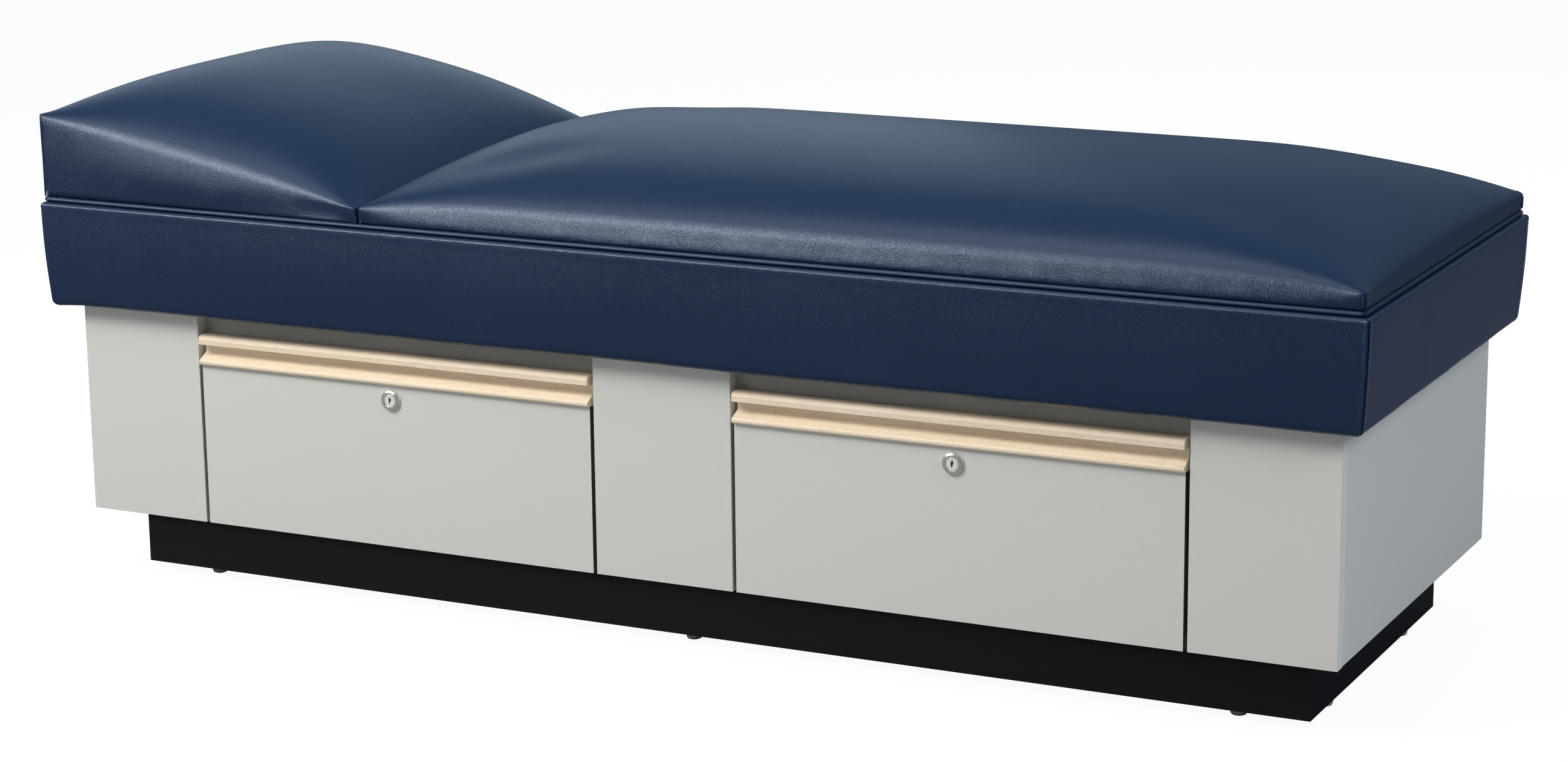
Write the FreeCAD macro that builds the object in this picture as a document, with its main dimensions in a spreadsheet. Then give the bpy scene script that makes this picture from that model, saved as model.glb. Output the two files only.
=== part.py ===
import FreeCAD, Part
import math
import os
import re

import Sketcher

# Upholstered recovery couch: a plinth on nail-on glides, a laminate cabinet with two
# drawers on telescopic slides, and an upholstered top with a deep skirt, a crowned cushion
# and a raised pillow. Millimetres. The origin is at the centre of the footprint, on the
# floor. +X runs to the foot end, -Y is the front (drawer) side, +Z is up. Left is -X.

Vector = FreeCAD.Vector
Rotation = FreeCAD.Rotation
doc = FreeCAD.newDocument("recovery_couch")

# ---------------------------------------------------------------- driving dimensions
# alias, value, note
ROWS = [
    # upholstered top
    ("couch_length", 1828.8, "upholstered top, overall"),
    ("couch_width", 685.8, "upholstered top, overall"),
    ("apron_bottom", 381, "bottom of the skirt, also the cabinet's top"),
    ("apron_height", 140, "height of the skirt"),
    ("apron_taper", 8, "the skirt draws in this much per side at its bottom"),
    ("skirt_corner", 5, "radius of the skirt's upright corners"),
    ("skirt_roll", 4.8, "radius of the skirt's top and bottom edges"),
    ("vinyl", 1.4, "cover thickness"),
    ("top_turn", 20, "edge of the cover's top opening, in from the couch's outline"),
    ("mouth_end_gap", 6, "cover's bottom opening, past each end panel"),
    ("mouth_side_gap", 4, "cover's bottom opening, past the front and back face"),
    ("low_mouth_height", 60, "height of the cutter for the bottom opening"),
    ("cutter_reach", 20, "cutters reach this far past the faces they open"),
    ("deck_thick", 12, "plywood deck"),
    ("rail_thick", 19, "couch frame rails"),
    ("rail_inset", 13.6, "outer face of the frame rails, in from the skirt's top edge"),
    ("crossbar_width", 38, "couch frame crossbars"),
    ("crossbar_pitch", 400, "between crossbar centres"),
    # cabinet
    ("end_panels_length", 1753, "over the two end panels"),
    ("stile_proud", 1, "face panels stand past the end panels"),
    ("half_depth", 308, "front and back face of the cabinet"),
    ("cabinet_floor", 95.5, "underside of the cabinet"),
    ("board", 19, "cabinet board"),
    ("ease_radius", 0.6, "eased front edges of the laminate"),
    ("opening_width", 598, "drawer opening"),
    ("drawer_centre", 395.5, "centre of each opening from the couch's centre"),
    ("rail_height", 63, "front top rail"),
    ("stretcher_width", 80, "top stretchers"),
    # plinth and glides
    ("plinth_length", 1660, "plinth"),
    ("plinth_width", 510, "plinth"),
    ("plinth_board", 38, "plinth lumber"),
    ("plinth_height", 83.5, "plinth"),
    ("glide_height", 12, "glide below the plinth"),
    ("glide_radius", 10.5, "glide"),
    ("nail_radius", 1.6, "glide nail"),
    ("nail_length", 18, "glide nail"),
    ("glide_pitch", 733, "between glides along the front and back boards"),
    ("glide_side", 229, "front and back glides, from the centre line"),
    ("end_glide_out", 815, "glides of the end boards, from the centre"),
    ("end_glide_side", 154, "glides of the end boards, from the centre line"),
    # telescopic slides
    ("slide_length", 508, "telescopic slide, 20 in"),
    ("slide_height", 45, "telescopic slide"),
    ("slide_thick", 12.7, "side clearance the slide fills"),
    ("slide_bottom", 167.5, "height of the slide's lower edge"),
    ("slide_setback", 2, "slide's front end, behind the face panels' back face"),
    ("steel", 1.2, "slide steel"),
    # drawers
    ("front_width", 588, "drawer front"),
    ("front_thick", 18, "drawer front"),
    ("front_height", 217.5, "drawer front"),
    ("box_board", 12, "drawer box board"),
    ("box_length", 508, "drawer box, front to back"),
    ("box_bottom", 118, "underside of the drawer box"),
    ("box_top", 308, "top of the drawer box"),
    ("bottom_thick", 6, "drawer box bottom"),
    ("pull_height", 40, "wooden pull"),
    ("dowel_radius", 4, "pull dowel"),
    ("dowel_length", 28, "pull dowel"),
    ("dowel_in_pull", 10, "part of the dowel inside the pull"),
    ("dowel_depth", 9, "dowel axis behind the drawer front's face"),
    ("dowel_reach", 220, "outer dowels from the drawer's centre"),
    ("dowel_middle", 90, "middle dowel from the drawer's centre"),
    # locks
    ("lock_height", 293, "lock axis above the floor"),
    ("lock_radius", 9.5, "lock housing"),
    ("lock_bore", 8, "bore of the lock housing"),
    ("barrel_length", 36, "lock housing behind the bezel"),
    ("bezel_radius", 14, "lock bezel"),
    ("bezel_proud", 4.8, "bezel in front of the drawer front"),
    ("plug_radius", 7.95, "lock plug"),
    ("plug_recess", 0.9, "plug's face behind the bezel's front face"),
    ("plug_shoulder", 39.4, "plug's shoulder behind the drawer front's face"),
    ("plug_end", 42.6, "plug's rear end behind the drawer front's face"),
    ("stub_radius", 4, "stub of the plug that carries the cam"),
    ("key_slot_depth", 6, "key slot"),
    ("nut_radius", 12.5, "lock nut, over the corners"),
    ("nut_thick", 3.5, "lock nut"),
    ("cam_depth", 39.6, "cam's front face behind the drawer front's face"),
    ("cam_thick", 2, "lock cam"),
    # screws
    ("screw_radius", 2.25, "wood screw shank"),
    ("screw_head", 4.5, "wood screw head radius"),
    ("head_thick", 3, "wood screw head"),
    ("screw_length", 50, "cabinet to plinth screw"),
    ("short_screw", 38, "stretcher to crossbar screw"),
    ("front_screw", 24, "drawer box to drawer front screw"),
    ("base_screw_pitch", 520, "between cabinet to plinth screws"),
    ("front_screw_reach", 200, "drawer front screws from the drawer's centre"),
    ("low_screw_rise", 40, "lower drawer front screws above the box's underside"),
    ("top_screw_drop", 45, "upper drawer front screws below the box's top"),
    # welt, cushion and pillow
    ("welt_radius", 3.25, "welt cord"),
    ("welt_inset", 8.75, "welt's centre line, in from the skirt's outer edge"),
    ("welt_height", 524.5, "welt's centre line"),
    ("welt_corner", 12, "welt corner radius"),
    ("cushion_end", 908, "foot end of the cushion"),
    ("head_end", 914, "head end of the pillow"),
    ("pillow_seam", -420, "seam between pillow and cushion"),
    ("seam_gap", 0.25, "pillow and cushion each stop this far from the seam"),
    ("cushion_half", 337, "half width of cushion and pillow"),
    ("cushion_base", 528.2, "lower edge of the cushion's cover"),
    ("cushion_tuck", 5, "the cover draws in this much per side at its lower edge"),
    ("cushion_edge", 547.4, "top edge of the cushion's side"),
    ("cushion_crown", 83.2, "crown of the cushion above its edge"),
    ("pillow_edge", 638, "head end edge of the pillow"),
    ("pillow_crown", 71.9, "crown of the pillow above its edge line"),
    ("foam_setback", 14, "low part of the foam, in from the welt's centre line"),
]

sheet = doc.addObject("Spreadsheet::Sheet", "Sizes")
for row, (alias, value, note) in enumerate(ROWS, start=1):
    sheet.set("A%d" % row, alias)
    sheet.set("B%d" % row, str(value))
    sheet.set("C%d" % row, note)
    sheet.setAlias("B%d" % row, alias)
doc.recompute()
SIZE = {alias: float(sheet.get(alias)) for alias, _, _ in ROWS}


# ---------------------------------------------------------------- expressions
# Places and sizes are texts such as "couch_length/2-rail_inset", without brackets.
def bound(text):
    """The text as an expression, with each size's name bound to its sheet cell."""
    return re.sub(
        r"[a-z_]+",
        lambda m: "Sizes." + m.group(0) if m.group(0) in SIZE else m.group(0),
        text,
    )


def num(text):
    """The value of a sum of products of sizes and numbers."""
    total = 0.0
    for sign, term in re.findall(r"([+-]?)([^+-]+)", text.replace(" ", "")):
        value, operator = 1.0, "*"
        for piece in re.split(r"([*/])", term):
            if piece in "*/":
                operator = piece
                continue
            factor = SIZE[piece] if piece in SIZE else float(piece)
            value = value * factor if operator == "*" else value / factor
        total += -value if sign == "-" else value
    return total


def shift(base, offset):
    """The text for base plus offset, where the offset may start with a minus."""
    return base + (offset if offset[0] == "-" else "+" + offset)


def bind_place(item, x, y, z):
    for axis, text in zip("xyz", (x, y, z)):
        item.setExpression("Placement.Base." + axis, bound(text))


# ---------------------------------------------------------------- modelling helpers
NODES = []  # the pieces to export


def keep(*pieces):
    NODES.extend(pieces)


def new_body(label, x="0", y="0", z="0"):
    body = doc.addObject("PartDesign::Body", label)
    body.Label = label
    bind_place(body, x, y, z)
    return body


def new_sketch(body, role, offset=None):
    """A sketch on an origin plane of the body, moved by offset along the plane's normal."""
    sketch = body.newObject("Sketcher::SketchObject", body.Name + "_sketch")
    plane = [o for o in body.Origin.OriginFeatures if o.Role == role][0]
    sketch.AttachmentSupport = [(plane, "")]
    sketch.MapMode = "FlatFace"
    if offset is not None:
        sketch.setExpression("AttachmentOffset.Base.z", bound(offset))
    return sketch


def dimension(sketch, kind, references, text):
    """A dimensional constraint bound to the text's expression."""
    index = sketch.addConstraint(Sketcher.Constraint(kind, *references, num(text)))
    sketch.setExpression("Constraints[%d]" % index, bound(text))


def anchor(sketch, geometry, point, x, y):
    """Ties a point of a sketch to x, y from the sketch's origin."""
    for axis, text, kind in ((-2, x, "DistanceX"), (-1, y, "DistanceY")):
        if abs(num(text)) < 1e-9:
            sketch.addConstraint(Sketcher.Constraint("PointOnObject", geometry, point, axis))
        else:
            dimension(sketch, kind, (-1, 1, geometry, point), text)


def outline(sketch, points):
    """A closed outline with each corner tied to its place."""
    count = len(points)
    corners = [Vector(num(x), num(y), 0) for x, y in points]
    for i in range(count):
        sketch.addGeometry(Part.LineSegment(corners[i], corners[(i + 1) % count]), False)
    for i in range(count):
        sketch.addConstraint(Sketcher.Constraint("Coincident", i, 2, (i + 1) % count, 1))
    for i, (x, y) in enumerate(points):
        anchor(sketch, i, 1, x, y)


def circle(sketch, x, y, radius):
    shape = Part.Circle(Vector(num(x), num(y), 0), Vector(0, 0, 1), num(radius))
    index = sketch.addGeometry(shape, False)
    dimension(sketch, "Radius", (index,), radius)
    anchor(sketch, index, 3, x, y)


def pad(body, sketch, length, reverse=False):
    feature = body.newObject("PartDesign::Pad", body.Name + "_pad")
    feature.Profile = sketch
    feature.Reversed = reverse
    feature.setExpression("Length", bound(length))
    sketch.Visibility = False


def pocket(body, sketch, length, reverse=False):
    feature = body.newObject("PartDesign::Pocket", body.Name + "_pocket")
    feature.Profile = sketch
    feature.Reversed = reverse
    feature.setExpression("Length", bound(length))


def extrusion(label, x, y, z, role, points, length):
    """An outline drawn on a plane and padded towards +X, +Y or +Z."""
    body = new_body(label, x, y, z)
    sketch = new_sketch(body, role)
    outline(sketch, points)
    # the XZ plane's normal is -Y
    pad(body, sketch, length, reverse=role == "XZ_Plane")
    return body


def board(label, x, y, z, size_x, size_y, size_z):
    """A rectangular board with its low corner at x, y, z."""
    corners = [("0", "0"), (size_x, "0"), (size_x, size_y), ("0", size_y)]
    return extrusion(label, x, y, z, "XY_Plane", corners, size_z)


def turned(label, role, points, x="0", y="0", z="0"):
    """A half section turned about the sketch's upright axis. points: radius, height."""
    body = new_body(label, x, y, z)
    sketch = new_sketch(body, role)
    outline(sketch, points)
    feature = body.newObject("PartDesign::Revolution", body.Name + "_turn")
    feature.Profile = sketch
    feature.ReferenceAxis = (sketch, ["V_Axis"])
    feature.Angle = 360
    return body


# direction of the cut: sketch plane, reversed
CUTS = {
    "+Z": ("XY_Plane", True),
    "-Z": ("XY_Plane", False),
    "+Y": ("XZ_Plane", False),
    "-Y": ("XZ_Plane", True),
}


def drill(body, direction, holes, start, depth):
    """Round holes (x, y or z, radius) from the coordinate start, in the body's own axes."""
    doc.recompute()
    role, reverse = CUTS[direction]
    # the XZ plane's normal is -Y
    offset = start if role == "XY_Plane" else "-" + start
    sketch = new_sketch(body, role, offset)
    for across, up, radius in holes:
        circle(sketch, across, up, radius)
    pocket(body, sketch, depth, reverse)


def grid(centre_x, offsets_x, others, radius):
    """Holes at each x offset from centre_x, at each of the other coordinates."""
    return [(shift(centre_x, x), other, radius) for x in offsets_x for other in others]


def ease_front(body):
    """Rounds the long upright edges of the body's front face."""
    doc.recompute()
    base = body.Tip
    ease = body.newObject("PartDesign::Fillet", body.Name + "_ease")
    names = ["Edge%d" % (i + 1) for i, e in enumerate(base.Shape.Edges)
             if e.BoundBox.YMax < 1e-6 and e.BoundBox.ZLength > 100]
    ease.Base = (base, names)
    ease.setExpression("Radius", bound("ease_radius"))


def group(label, master, places):
    """Copies of one piece as separate solids of one node. places: (x, y, z, rotation)."""
    links = []
    for i, (x, y, z, turn) in enumerate(places):
        link = doc.addObject("App::Link", "%s_%d" % (label, i + 1))
        link.LinkedObject = master
        link.LinkTransform = False
        link.Placement = FreeCAD.Placement(Vector(0, 0, 0), turn)
        bind_place(link, x, y, z)
        links.append(link)
    compound = doc.addObject("Part::Compound", label)
    compound.Label = label
    compound.Links = links
    keep(compound)


UPRIGHT = Rotation()
HALF_TURN = Rotation(Vector(0, 0, 1), 180)
UPSIDE_DOWN = Rotation(Vector(1, 0, 0), 180)
ALONG_BACK = Rotation(Vector(1, 0, 0), -90)  # local +Z to +Y

# Places shared by pieces that meet, from the couch's or the drawer's centre
GLIDES_X = ("-glide_pitch", "0", "glide_pitch")
BASE_SCREWS_X = ("-1.5*base_screw_pitch", "-0.5*base_screw_pitch",
                 "0.5*base_screw_pitch", "1.5*base_screw_pitch")
BASE_SCREWS_Y = ("-plinth_width/2+plinth_board/2", "plinth_width/2-plinth_board/2")
CROSSBARS_X = ("-2*crossbar_pitch", "-crossbar_pitch", "0",
               "crossbar_pitch", "2*crossbar_pitch")
TOP_SCREWS_Y = ("-half_depth+2*board+stretcher_width/2",
                "half_depth-board-stretcher_width/2")
DOWELS_X = ("-dowel_reach", "dowel_middle", "dowel_reach")
FRONT_SCREWS_X = ("-front_screw_reach", "front_screw_reach")
FRONT_SCREWS_Z = ("box_bottom+low_screw_rise", "box_top-top_screw_drop")


# ---------------------------------------------------------------- plinth
def plinth_long_boards():
    """Front and back boards, with nail holes below and screw holes on top."""
    for label, y, nails_y in (
        ("plinth_front_board", "-plinth_width/2", "plinth_width/2-glide_side"),
        ("plinth_back_board", "plinth_width/2-plinth_board",
         "glide_side-plinth_width/2+plinth_board"),
    ):
        body = board(label, "-plinth_length/2", y, "glide_height",
                     "plinth_length", "plinth_board", "plinth_height")
        drill(body, "+Z", grid("plinth_length/2", GLIDES_X, [nails_y], "nail_radius"),
              "0", "nail_length")
        screws = grid("plinth_length/2", BASE_SCREWS_X, ["plinth_board/2"], "screw_radius")
        drill(body, "-Z", screws, "plinth_height", "screw_length-board")
        keep(body)


def plinth_cross_board(label, x):
    return board(label, x, "-plinth_width/2+plinth_board", "glide_height",
                 "plinth_board", "plinth_width-2*plinth_board", "plinth_height")


def plinth_cross_boards():
    """The two end boards, with nail holes below, and the brace between them."""
    middle = "plinth_width/2-plinth_board"
    for label, x, nails_x in (
        ("plinth_left_board", "-plinth_length/2", "plinth_length/2-end_glide_out"),
        ("plinth_right_board", "plinth_length/2-plinth_board",
         "end_glide_out-plinth_length/2+plinth_board"),
    ):
        body = plinth_cross_board(label, x)
        drill(body, "+Z", [(nails_x, middle + "-end_glide_side", "nail_radius"),
                           (nails_x, middle + "+end_glide_side", "nail_radius")],
              "0", "nail_length")
        keep(body)
    keep(plinth_cross_board("plinth_brace", "-plinth_board/2"))


def floor_glides():
    """Nail-on glides: a low dome, narrow at the floor, with a nail on top."""
    glide = turned("glide_master", "XZ_Plane", [
        ("0", "0"), ("glide_radius-4", "0"), ("glide_radius-1.4", "1.1"),
        ("glide_radius-0.3", "3.2"), ("glide_radius", "5.5"),
        ("glide_radius", "glide_height"), ("nail_radius", "glide_height"),
        ("nail_radius", "glide_height+nail_length"), ("0", "glide_height+nail_length"),
    ])
    places = [(x, sign + "glide_side", "0", UPRIGHT) for sign in ("-", "") for x in GLIDES_X]
    places += [(sign_x + "end_glide_out", sign_y + "end_glide_side", "0", UPRIGHT)
               for sign_x in ("-", "") for sign_y in ("-", "")]
    group("floor_glides", glide, places)


plinth_long_boards()
plinth_cross_boards()
floor_glides()

# ---------------------------------------------------------------- cabinet
INNER_X = "-end_panels_length/2+board"  # inner face of the left end panel
INNER_LENGTH = "end_panels_length-2*board"
INNER_HALF = "end_panels_length/2-board"
CABINET_HEIGHT = "apron_bottom-cabinet_floor"


def screw(label, length, blunt, taper):
    """A wood screw with its tip at the origin, pointing to -Z, and a cylindrical head.
    blunt and taper are the heights where the point and the tapered part end."""
    return turned(label, "XZ_Plane", [
        ("0", "0"), ("screw_radius-1", blunt), ("screw_radius", taper),
        ("screw_radius", length + "-head_thick"), ("screw_head", length + "-head_thick"),
        ("screw_head", length), ("0", length),
    ])


def cabinet_bottom():
    """The cabinet's floor, with recessed holes for the screws into the plinth."""
    body = board("cabinet_bottom", INNER_X, "-half_depth+board", "cabinet_floor",
                 INNER_LENGTH, "2*half_depth-2*board", "board")
    for y in BASE_SCREWS_Y:
        rows = [shift("half_depth-board", y)]
        drill(body, "+Z", grid(INNER_HALF, BASE_SCREWS_X, rows, "screw_radius"),
              "0", "board")
        drill(body, "-Z", grid(INNER_HALF, BASE_SCREWS_X, rows, "screw_head"),
              "board", "head_thick")
    keep(body)


def outer_panels():
    for label, x in (("left_end_panel", "-end_panels_length/2"),
                     ("right_end_panel", "end_panels_length/2-board")):
        keep(board(label, x, "-half_depth+board", "cabinet_floor",
                   "board", "2*half_depth-board", CABINET_HEIGHT))
    keep(board("back_panel", INNER_X, "half_depth-board", "cabinet_floor",
               INNER_LENGTH, "board", CABINET_HEIGHT))


def base_screws():
    master = screw("long_screw_master", "screw_length", blunt="2", taper="6")
    group("base_screws", master,
          [(x, y, "cabinet_floor+board-screw_length", UPRIGHT)
           for x in BASE_SCREWS_X for y in BASE_SCREWS_Y])


def slide_partitions():
    """Partitions beside each drawer opening, notched for the front top rail."""
    depth = "2*half_depth-2*board"
    top = "apron_bottom-cabinet_floor-2*board"
    notch = "apron_bottom-rail_height-cabinet_floor-board"
    master = extrusion(
        "partition_master", "0", "0", "0", "YZ_Plane",
        [("0", "0"), (depth, "0"), (depth, top), ("board", top), ("board", notch),
         ("0", notch)],
        "board")
    group("slide_partitions", master,
          [(sign + "drawer_centre" + offset, "-half_depth+board", "cabinet_floor+board",
            UPRIGHT)
           for sign in ("-", "")
           for offset in ("-opening_width/2-board", "+opening_width/2")])


def top_boards():
    """The front top rail, and two stretchers screwed up into the couch's crossbars."""
    keep(board("front_top_rail", INNER_X, "-half_depth+board", "apron_bottom-rail_height",
               INNER_LENGTH, "board", "rail_height"))
    middle = ["stretcher_width/2"]
    for label, y in (("front_top_stretcher", "-half_depth+2*board"),
                     ("back_top_stretcher", "half_depth-board-stretcher_width")):
        body = board(label, INNER_X, y, "apron_bottom-board", INNER_LENGTH,
                     "stretcher_width", "board")
        drill(body, "+Z", grid(INNER_HALF, CROSSBARS_X, middle, "screw_radius"),
              "0", "board")
        drill(body, "+Z", grid(INNER_HALF, CROSSBARS_X, middle, "screw_head"),
              "0", "head_thick")
        keep(body)
    master = screw("wood_screw_master", "short_screw", blunt="2", taper="6")
    group("top_screws", master,
          [(x, y, "apron_bottom-board+short_screw", UPSIDE_DOWN)
           for x in CROSSBARS_X for y in TOP_SCREWS_Y])


def stiles():
    """Face panels either side of the drawers and between them."""
    outer_width = "end_panels_length/2+stile_proud-drawer_centre-opening_width/2"
    for label, x, width in (
        ("left_stile", "-end_panels_length/2-stile_proud", outer_width),
        ("centre_stile", "-drawer_centre+opening_width/2",
         "2*drawer_centre-opening_width"),
        ("right_stile", "drawer_centre+opening_width/2", outer_width),
    ):
        body = board(label, x, "-half_depth", "cabinet_floor", width, "board",
                     CABINET_HEIGHT)
        ease_front(body)
        keep(body)


cabinet_bottom()
outer_panels()
base_screws()
slide_partitions()
top_boards()
stiles()


# ---------------------------------------------------------------- telescopic slides
def slide_member(label, points):
    """points: x from the partition's face, height above the slide's lower edge."""
    return extrusion(label, "0", "0", "0", "XZ_Plane", points, "slide_length")


# C-shaped outer and middle members, open away from the partition; the inner one faces them
outer_member = slide_member("slide_outer_master", [
    ("0", "0"), ("9.6", "0"), ("9.6", "steel"), ("steel", "steel"),
    ("steel", "slide_height-steel"), ("9.6", "slide_height-steel"),
    ("9.6", "slide_height"), ("0", "slide_height"),
])
middle_member = slide_member("slide_middle_master", [
    ("2.6", "3.2"), ("10.2", "3.2"), ("10.2", "3.2+steel"), ("2.6+steel", "3.2+steel"),
    ("2.6+steel", "slide_height-3.2-steel"), ("10.2", "slide_height-3.2-steel"),
    ("10.2", "slide_height-3.2"), ("2.6", "slide_height-3.2"),
])
inner_member = slide_member("slide_inner_master", [
    ("5.2", "7"), ("slide_thick", "7"), ("slide_thick", "slide_height-7"),
    ("5.2", "slide_height-7"), ("5.2", "slide_height-7-steel"),
    ("slide_thick-steel", "slide_height-7-steel"), ("slide_thick-steel", "7+steel"),
    ("5.2", "7+steel"),
])


def slide_places(sign):
    """Both sides of one drawer; the right-hand one is turned half a turn."""
    y = "-half_depth+board+slide_setback"
    return [
        (sign + "drawer_centre-opening_width/2", y, "slide_bottom", UPRIGHT),
        (sign + "drawer_centre+opening_width/2", y + "+slide_length", "slide_bottom",
         HALF_TURN),
    ]


group("slide_outer_members", outer_member, slide_places("-") + slide_places(""))

# ---------------------------------------------------------------- drawers
# In each function, centre is the x of the drawer's centre.
BOX_FRONT_Y = "-half_depth+front_thick"  # back face of the drawer front

# Wooden pull, seen from the side: y from its back face, z from its underside.
# Two lips with a finger groove between them.
PULL_PROFILE = [
    ("0", "0"), ("-20", "0"), ("-23.2", "0.8"), ("-24.6", "3"), ("-24.6", "5.6"),
    ("-23.2", "7.4"), ("-8.6", "14.6"), ("-7.5", "16.4"), ("-7.5", "27.4"),
    ("-23.6", "28"), ("-24.2", "28.6"), ("-24.2", "pull_height-5.2"),
    ("-23.4", "pull_height-2.8"), ("-21.9", "pull_height-1.1"),
    ("-19.4", "pull_height-0.2"), ("-17.4", "pull_height"), ("0", "pull_height"),
]


def drawer_front(side, centre):
    """The front, flush with the face panels, with holes for lock, dowels and screws."""
    middle = "front_width/2"
    body = board(side + "_drawer_front", centre + "-front_width/2", "-half_depth",
                 "cabinet_floor", "front_width", "front_thick", "front_height")
    drill(body, "+Y", [(middle, "lock_height-cabinet_floor", "lock_radius")],
          "0", "front_thick")
    drill(body, "-Z", grid(middle, DOWELS_X, ["dowel_depth"], "dowel_radius"),
          "front_height", "dowel_length-dowel_in_pull")
    heights = [z + "-cabinet_floor" for z in FRONT_SCREWS_Z]
    drill(body, "-Y", grid(middle, FRONT_SCREWS_X, heights, "screw_radius"),
          "front_thick", "front_screw-box_board")
    ease_front(body)
    keep(body)


def drawer_pull(side, centre):
    """The full-width pull on top of the front, and its dowels."""
    pull = extrusion(side + "_drawer_pull", centre + "-front_width/2", BOX_FRONT_Y,
                     "cabinet_floor+front_height", "YZ_Plane", PULL_PROFILE, "front_width")
    holes = grid("front_width/2", DOWELS_X, ["dowel_depth-front_thick"], "dowel_radius")
    drill(pull, "+Z", holes, "0", "dowel_in_pull")
    keep(pull)

    dowel = new_body(side + "_dowel_master")
    sketch = new_sketch(dowel, "XY_Plane")
    circle(sketch, "0", "0", "dowel_radius")
    pad(dowel, sketch, "dowel_length")
    group(side + "_pull_dowels", dowel,
          [(shift(centre, x), "-half_depth+dowel_depth",
            "cabinet_floor+front_height+dowel_in_pull-dowel_length", UPRIGHT)
           for x in DOWELS_X])


def drawer_box(side, centre):
    """The box behind the front, and the screws that hold the two together."""
    left = centre + "-opening_width/2+slide_thick"
    right = centre + "+opening_width/2-slide_thick-box_board"
    width = "opening_width-2*slide_thick"
    inner_width = width + "-2*box_board"
    base_z = "box_bottom+bottom_thick"
    wall_height = "box_top-box_bottom-bottom_thick"

    side_board = board(side + "_box_side_master", "0", "0", "0", "box_board",
                       "box_length", wall_height)
    group(side + "_drawer_box_sides", side_board,
          [(x, BOX_FRONT_Y, base_z, UPRIGHT) for x in (left, right)])

    box_front = board(side + "_drawer_box_front", left + "+box_board", BOX_FRONT_Y, base_z,
                      inner_width, "box_board", wall_height)
    middle = "opening_width/2-slide_thick-box_board"
    heights = [z + "-box_bottom-bottom_thick" for z in FRONT_SCREWS_Z]
    drill(box_front, "+Y", [(middle, "lock_height-box_bottom-bottom_thick", "lock_radius")],
          "0", "box_board")
    drill(box_front, "+Y", grid(middle, FRONT_SCREWS_X, heights, "screw_radius"),
          "0", "box_board")
    drill(box_front, "-Y", grid(middle, FRONT_SCREWS_X, heights, "screw_head"),
          "box_board", "head_thick")
    keep(box_front)

    keep(board(side + "_drawer_box_back", left + "+box_board",
               BOX_FRONT_Y + "+box_length-box_board", base_z, inner_width, "box_board",
               wall_height))
    keep(board(side + "_drawer_box_bottom", left, BOX_FRONT_Y, "box_bottom", width,
               "box_length", "bottom_thick"))

    master = screw(side + "_front_screw_master", "front_screw", blunt="1.5", taper="4")
    group(side + "_front_screws", master,
          [(shift(centre, x), BOX_FRONT_Y + "+box_board-front_screw", z, ALONG_BACK)
           for x in FRONT_SCREWS_X for z in FRONT_SCREWS_Z])


def cam_lock(side, centre):
    """Housing, nut, plug and cam. The turned pieces are drawn with x the radius and y the
    depth behind the bezel's front face."""
    face_y = "-half_depth-bezel_proud"
    keep(turned(side + "_lock_housing", "XY_Plane", [
        ("lock_bore", "0.9"), ("lock_bore+0.6", "0.2"), ("lock_bore+1.6", "0"),
        ("bezel_radius-3.2", "0"), ("bezel_radius-1.2", "0.6"),
        ("bezel_radius-0.3", "1.8"), ("bezel_radius", "3.2"),
        ("bezel_radius", "bezel_proud"), ("lock_radius", "bezel_proud"),
        ("lock_radius", "bezel_proud+barrel_length"),
        ("lock_bore", "bezel_proud+barrel_length"),
    ], centre, face_y, "lock_height"))

    # hexagonal nut against the inside of the drawer box
    flat, half_side = "nut_radius*0.866", "nut_radius*0.5"
    nut = extrusion(side + "_lock_nut", centre, BOX_FRONT_Y + "+box_board", "lock_height",
                    "XZ_Plane",
                    [(flat, "-" + half_side), (flat, half_side), ("0", "nut_radius"),
                     ("-" + flat, half_side), ("-" + flat, "-" + half_side),
                     ("0", "-nut_radius")],
                    "nut_thick")
    drill(nut, "+Y", [("0", "0", "lock_radius")], "0", "nut_thick")
    keep(nut)

    plug = turned(side + "_lock_plug", "XY_Plane", [
        ("0", "plug_recess"), ("plug_radius-0.4", "plug_recess"),
        ("plug_radius", "plug_recess+0.4"), ("plug_radius", "bezel_proud+plug_shoulder"),
        ("stub_radius", "bezel_proud+plug_shoulder"),
        ("stub_radius", "bezel_proud+plug_end"), ("0", "bezel_proud+plug_end"),
    ], centre, face_y, "lock_height")
    doc.recompute()
    # zig-zag key slot, upright when the lock is open
    slot = new_sketch(plug, "XZ_Plane", "-plug_recess")
    outline(slot, [("-1.2", "-4.4"), ("0.2", "-4.4"), ("0.2", "-1.6"), ("1.2", "-1"),
                   ("1.2", "4.4"), ("-0.2", "4.4"), ("-0.2", "1.4"), ("-1.2", "0.8")])
    pocket(plug, slot, "key_slot_depth")
    keep(plug)

    # the cam lies towards the foot end when open, and stands up behind the rail when locked
    cam = extrusion(side + "_lock_cam", centre, "-half_depth+cam_depth", "lock_height",
                    "XZ_Plane",
                    [("-7.5", "-6"), ("-6", "-7.5"), ("30", "-7.5"), ("34", "-5"),
                     ("35", "0"), ("34", "5"), ("30", "7.5"), ("-6", "7.5"),
                     ("-7.5", "6")],
                    "cam_thick")
    drill(cam, "+Y", [("0", "0", "stub_radius")], "0", "cam_thick")
    keep(cam)


for side, sign in (("left", "-"), ("right", "")):
    centre = sign + "drawer_centre"
    drawer_front(side, centre)
    drawer_pull(side, centre)
    drawer_box(side, centre)
    group(side + "_slide_middle_members", middle_member, slide_places(sign))
    group(side + "_slide_inner_members", inner_member, slide_places(sign))
    cam_lock(side, centre)


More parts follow.
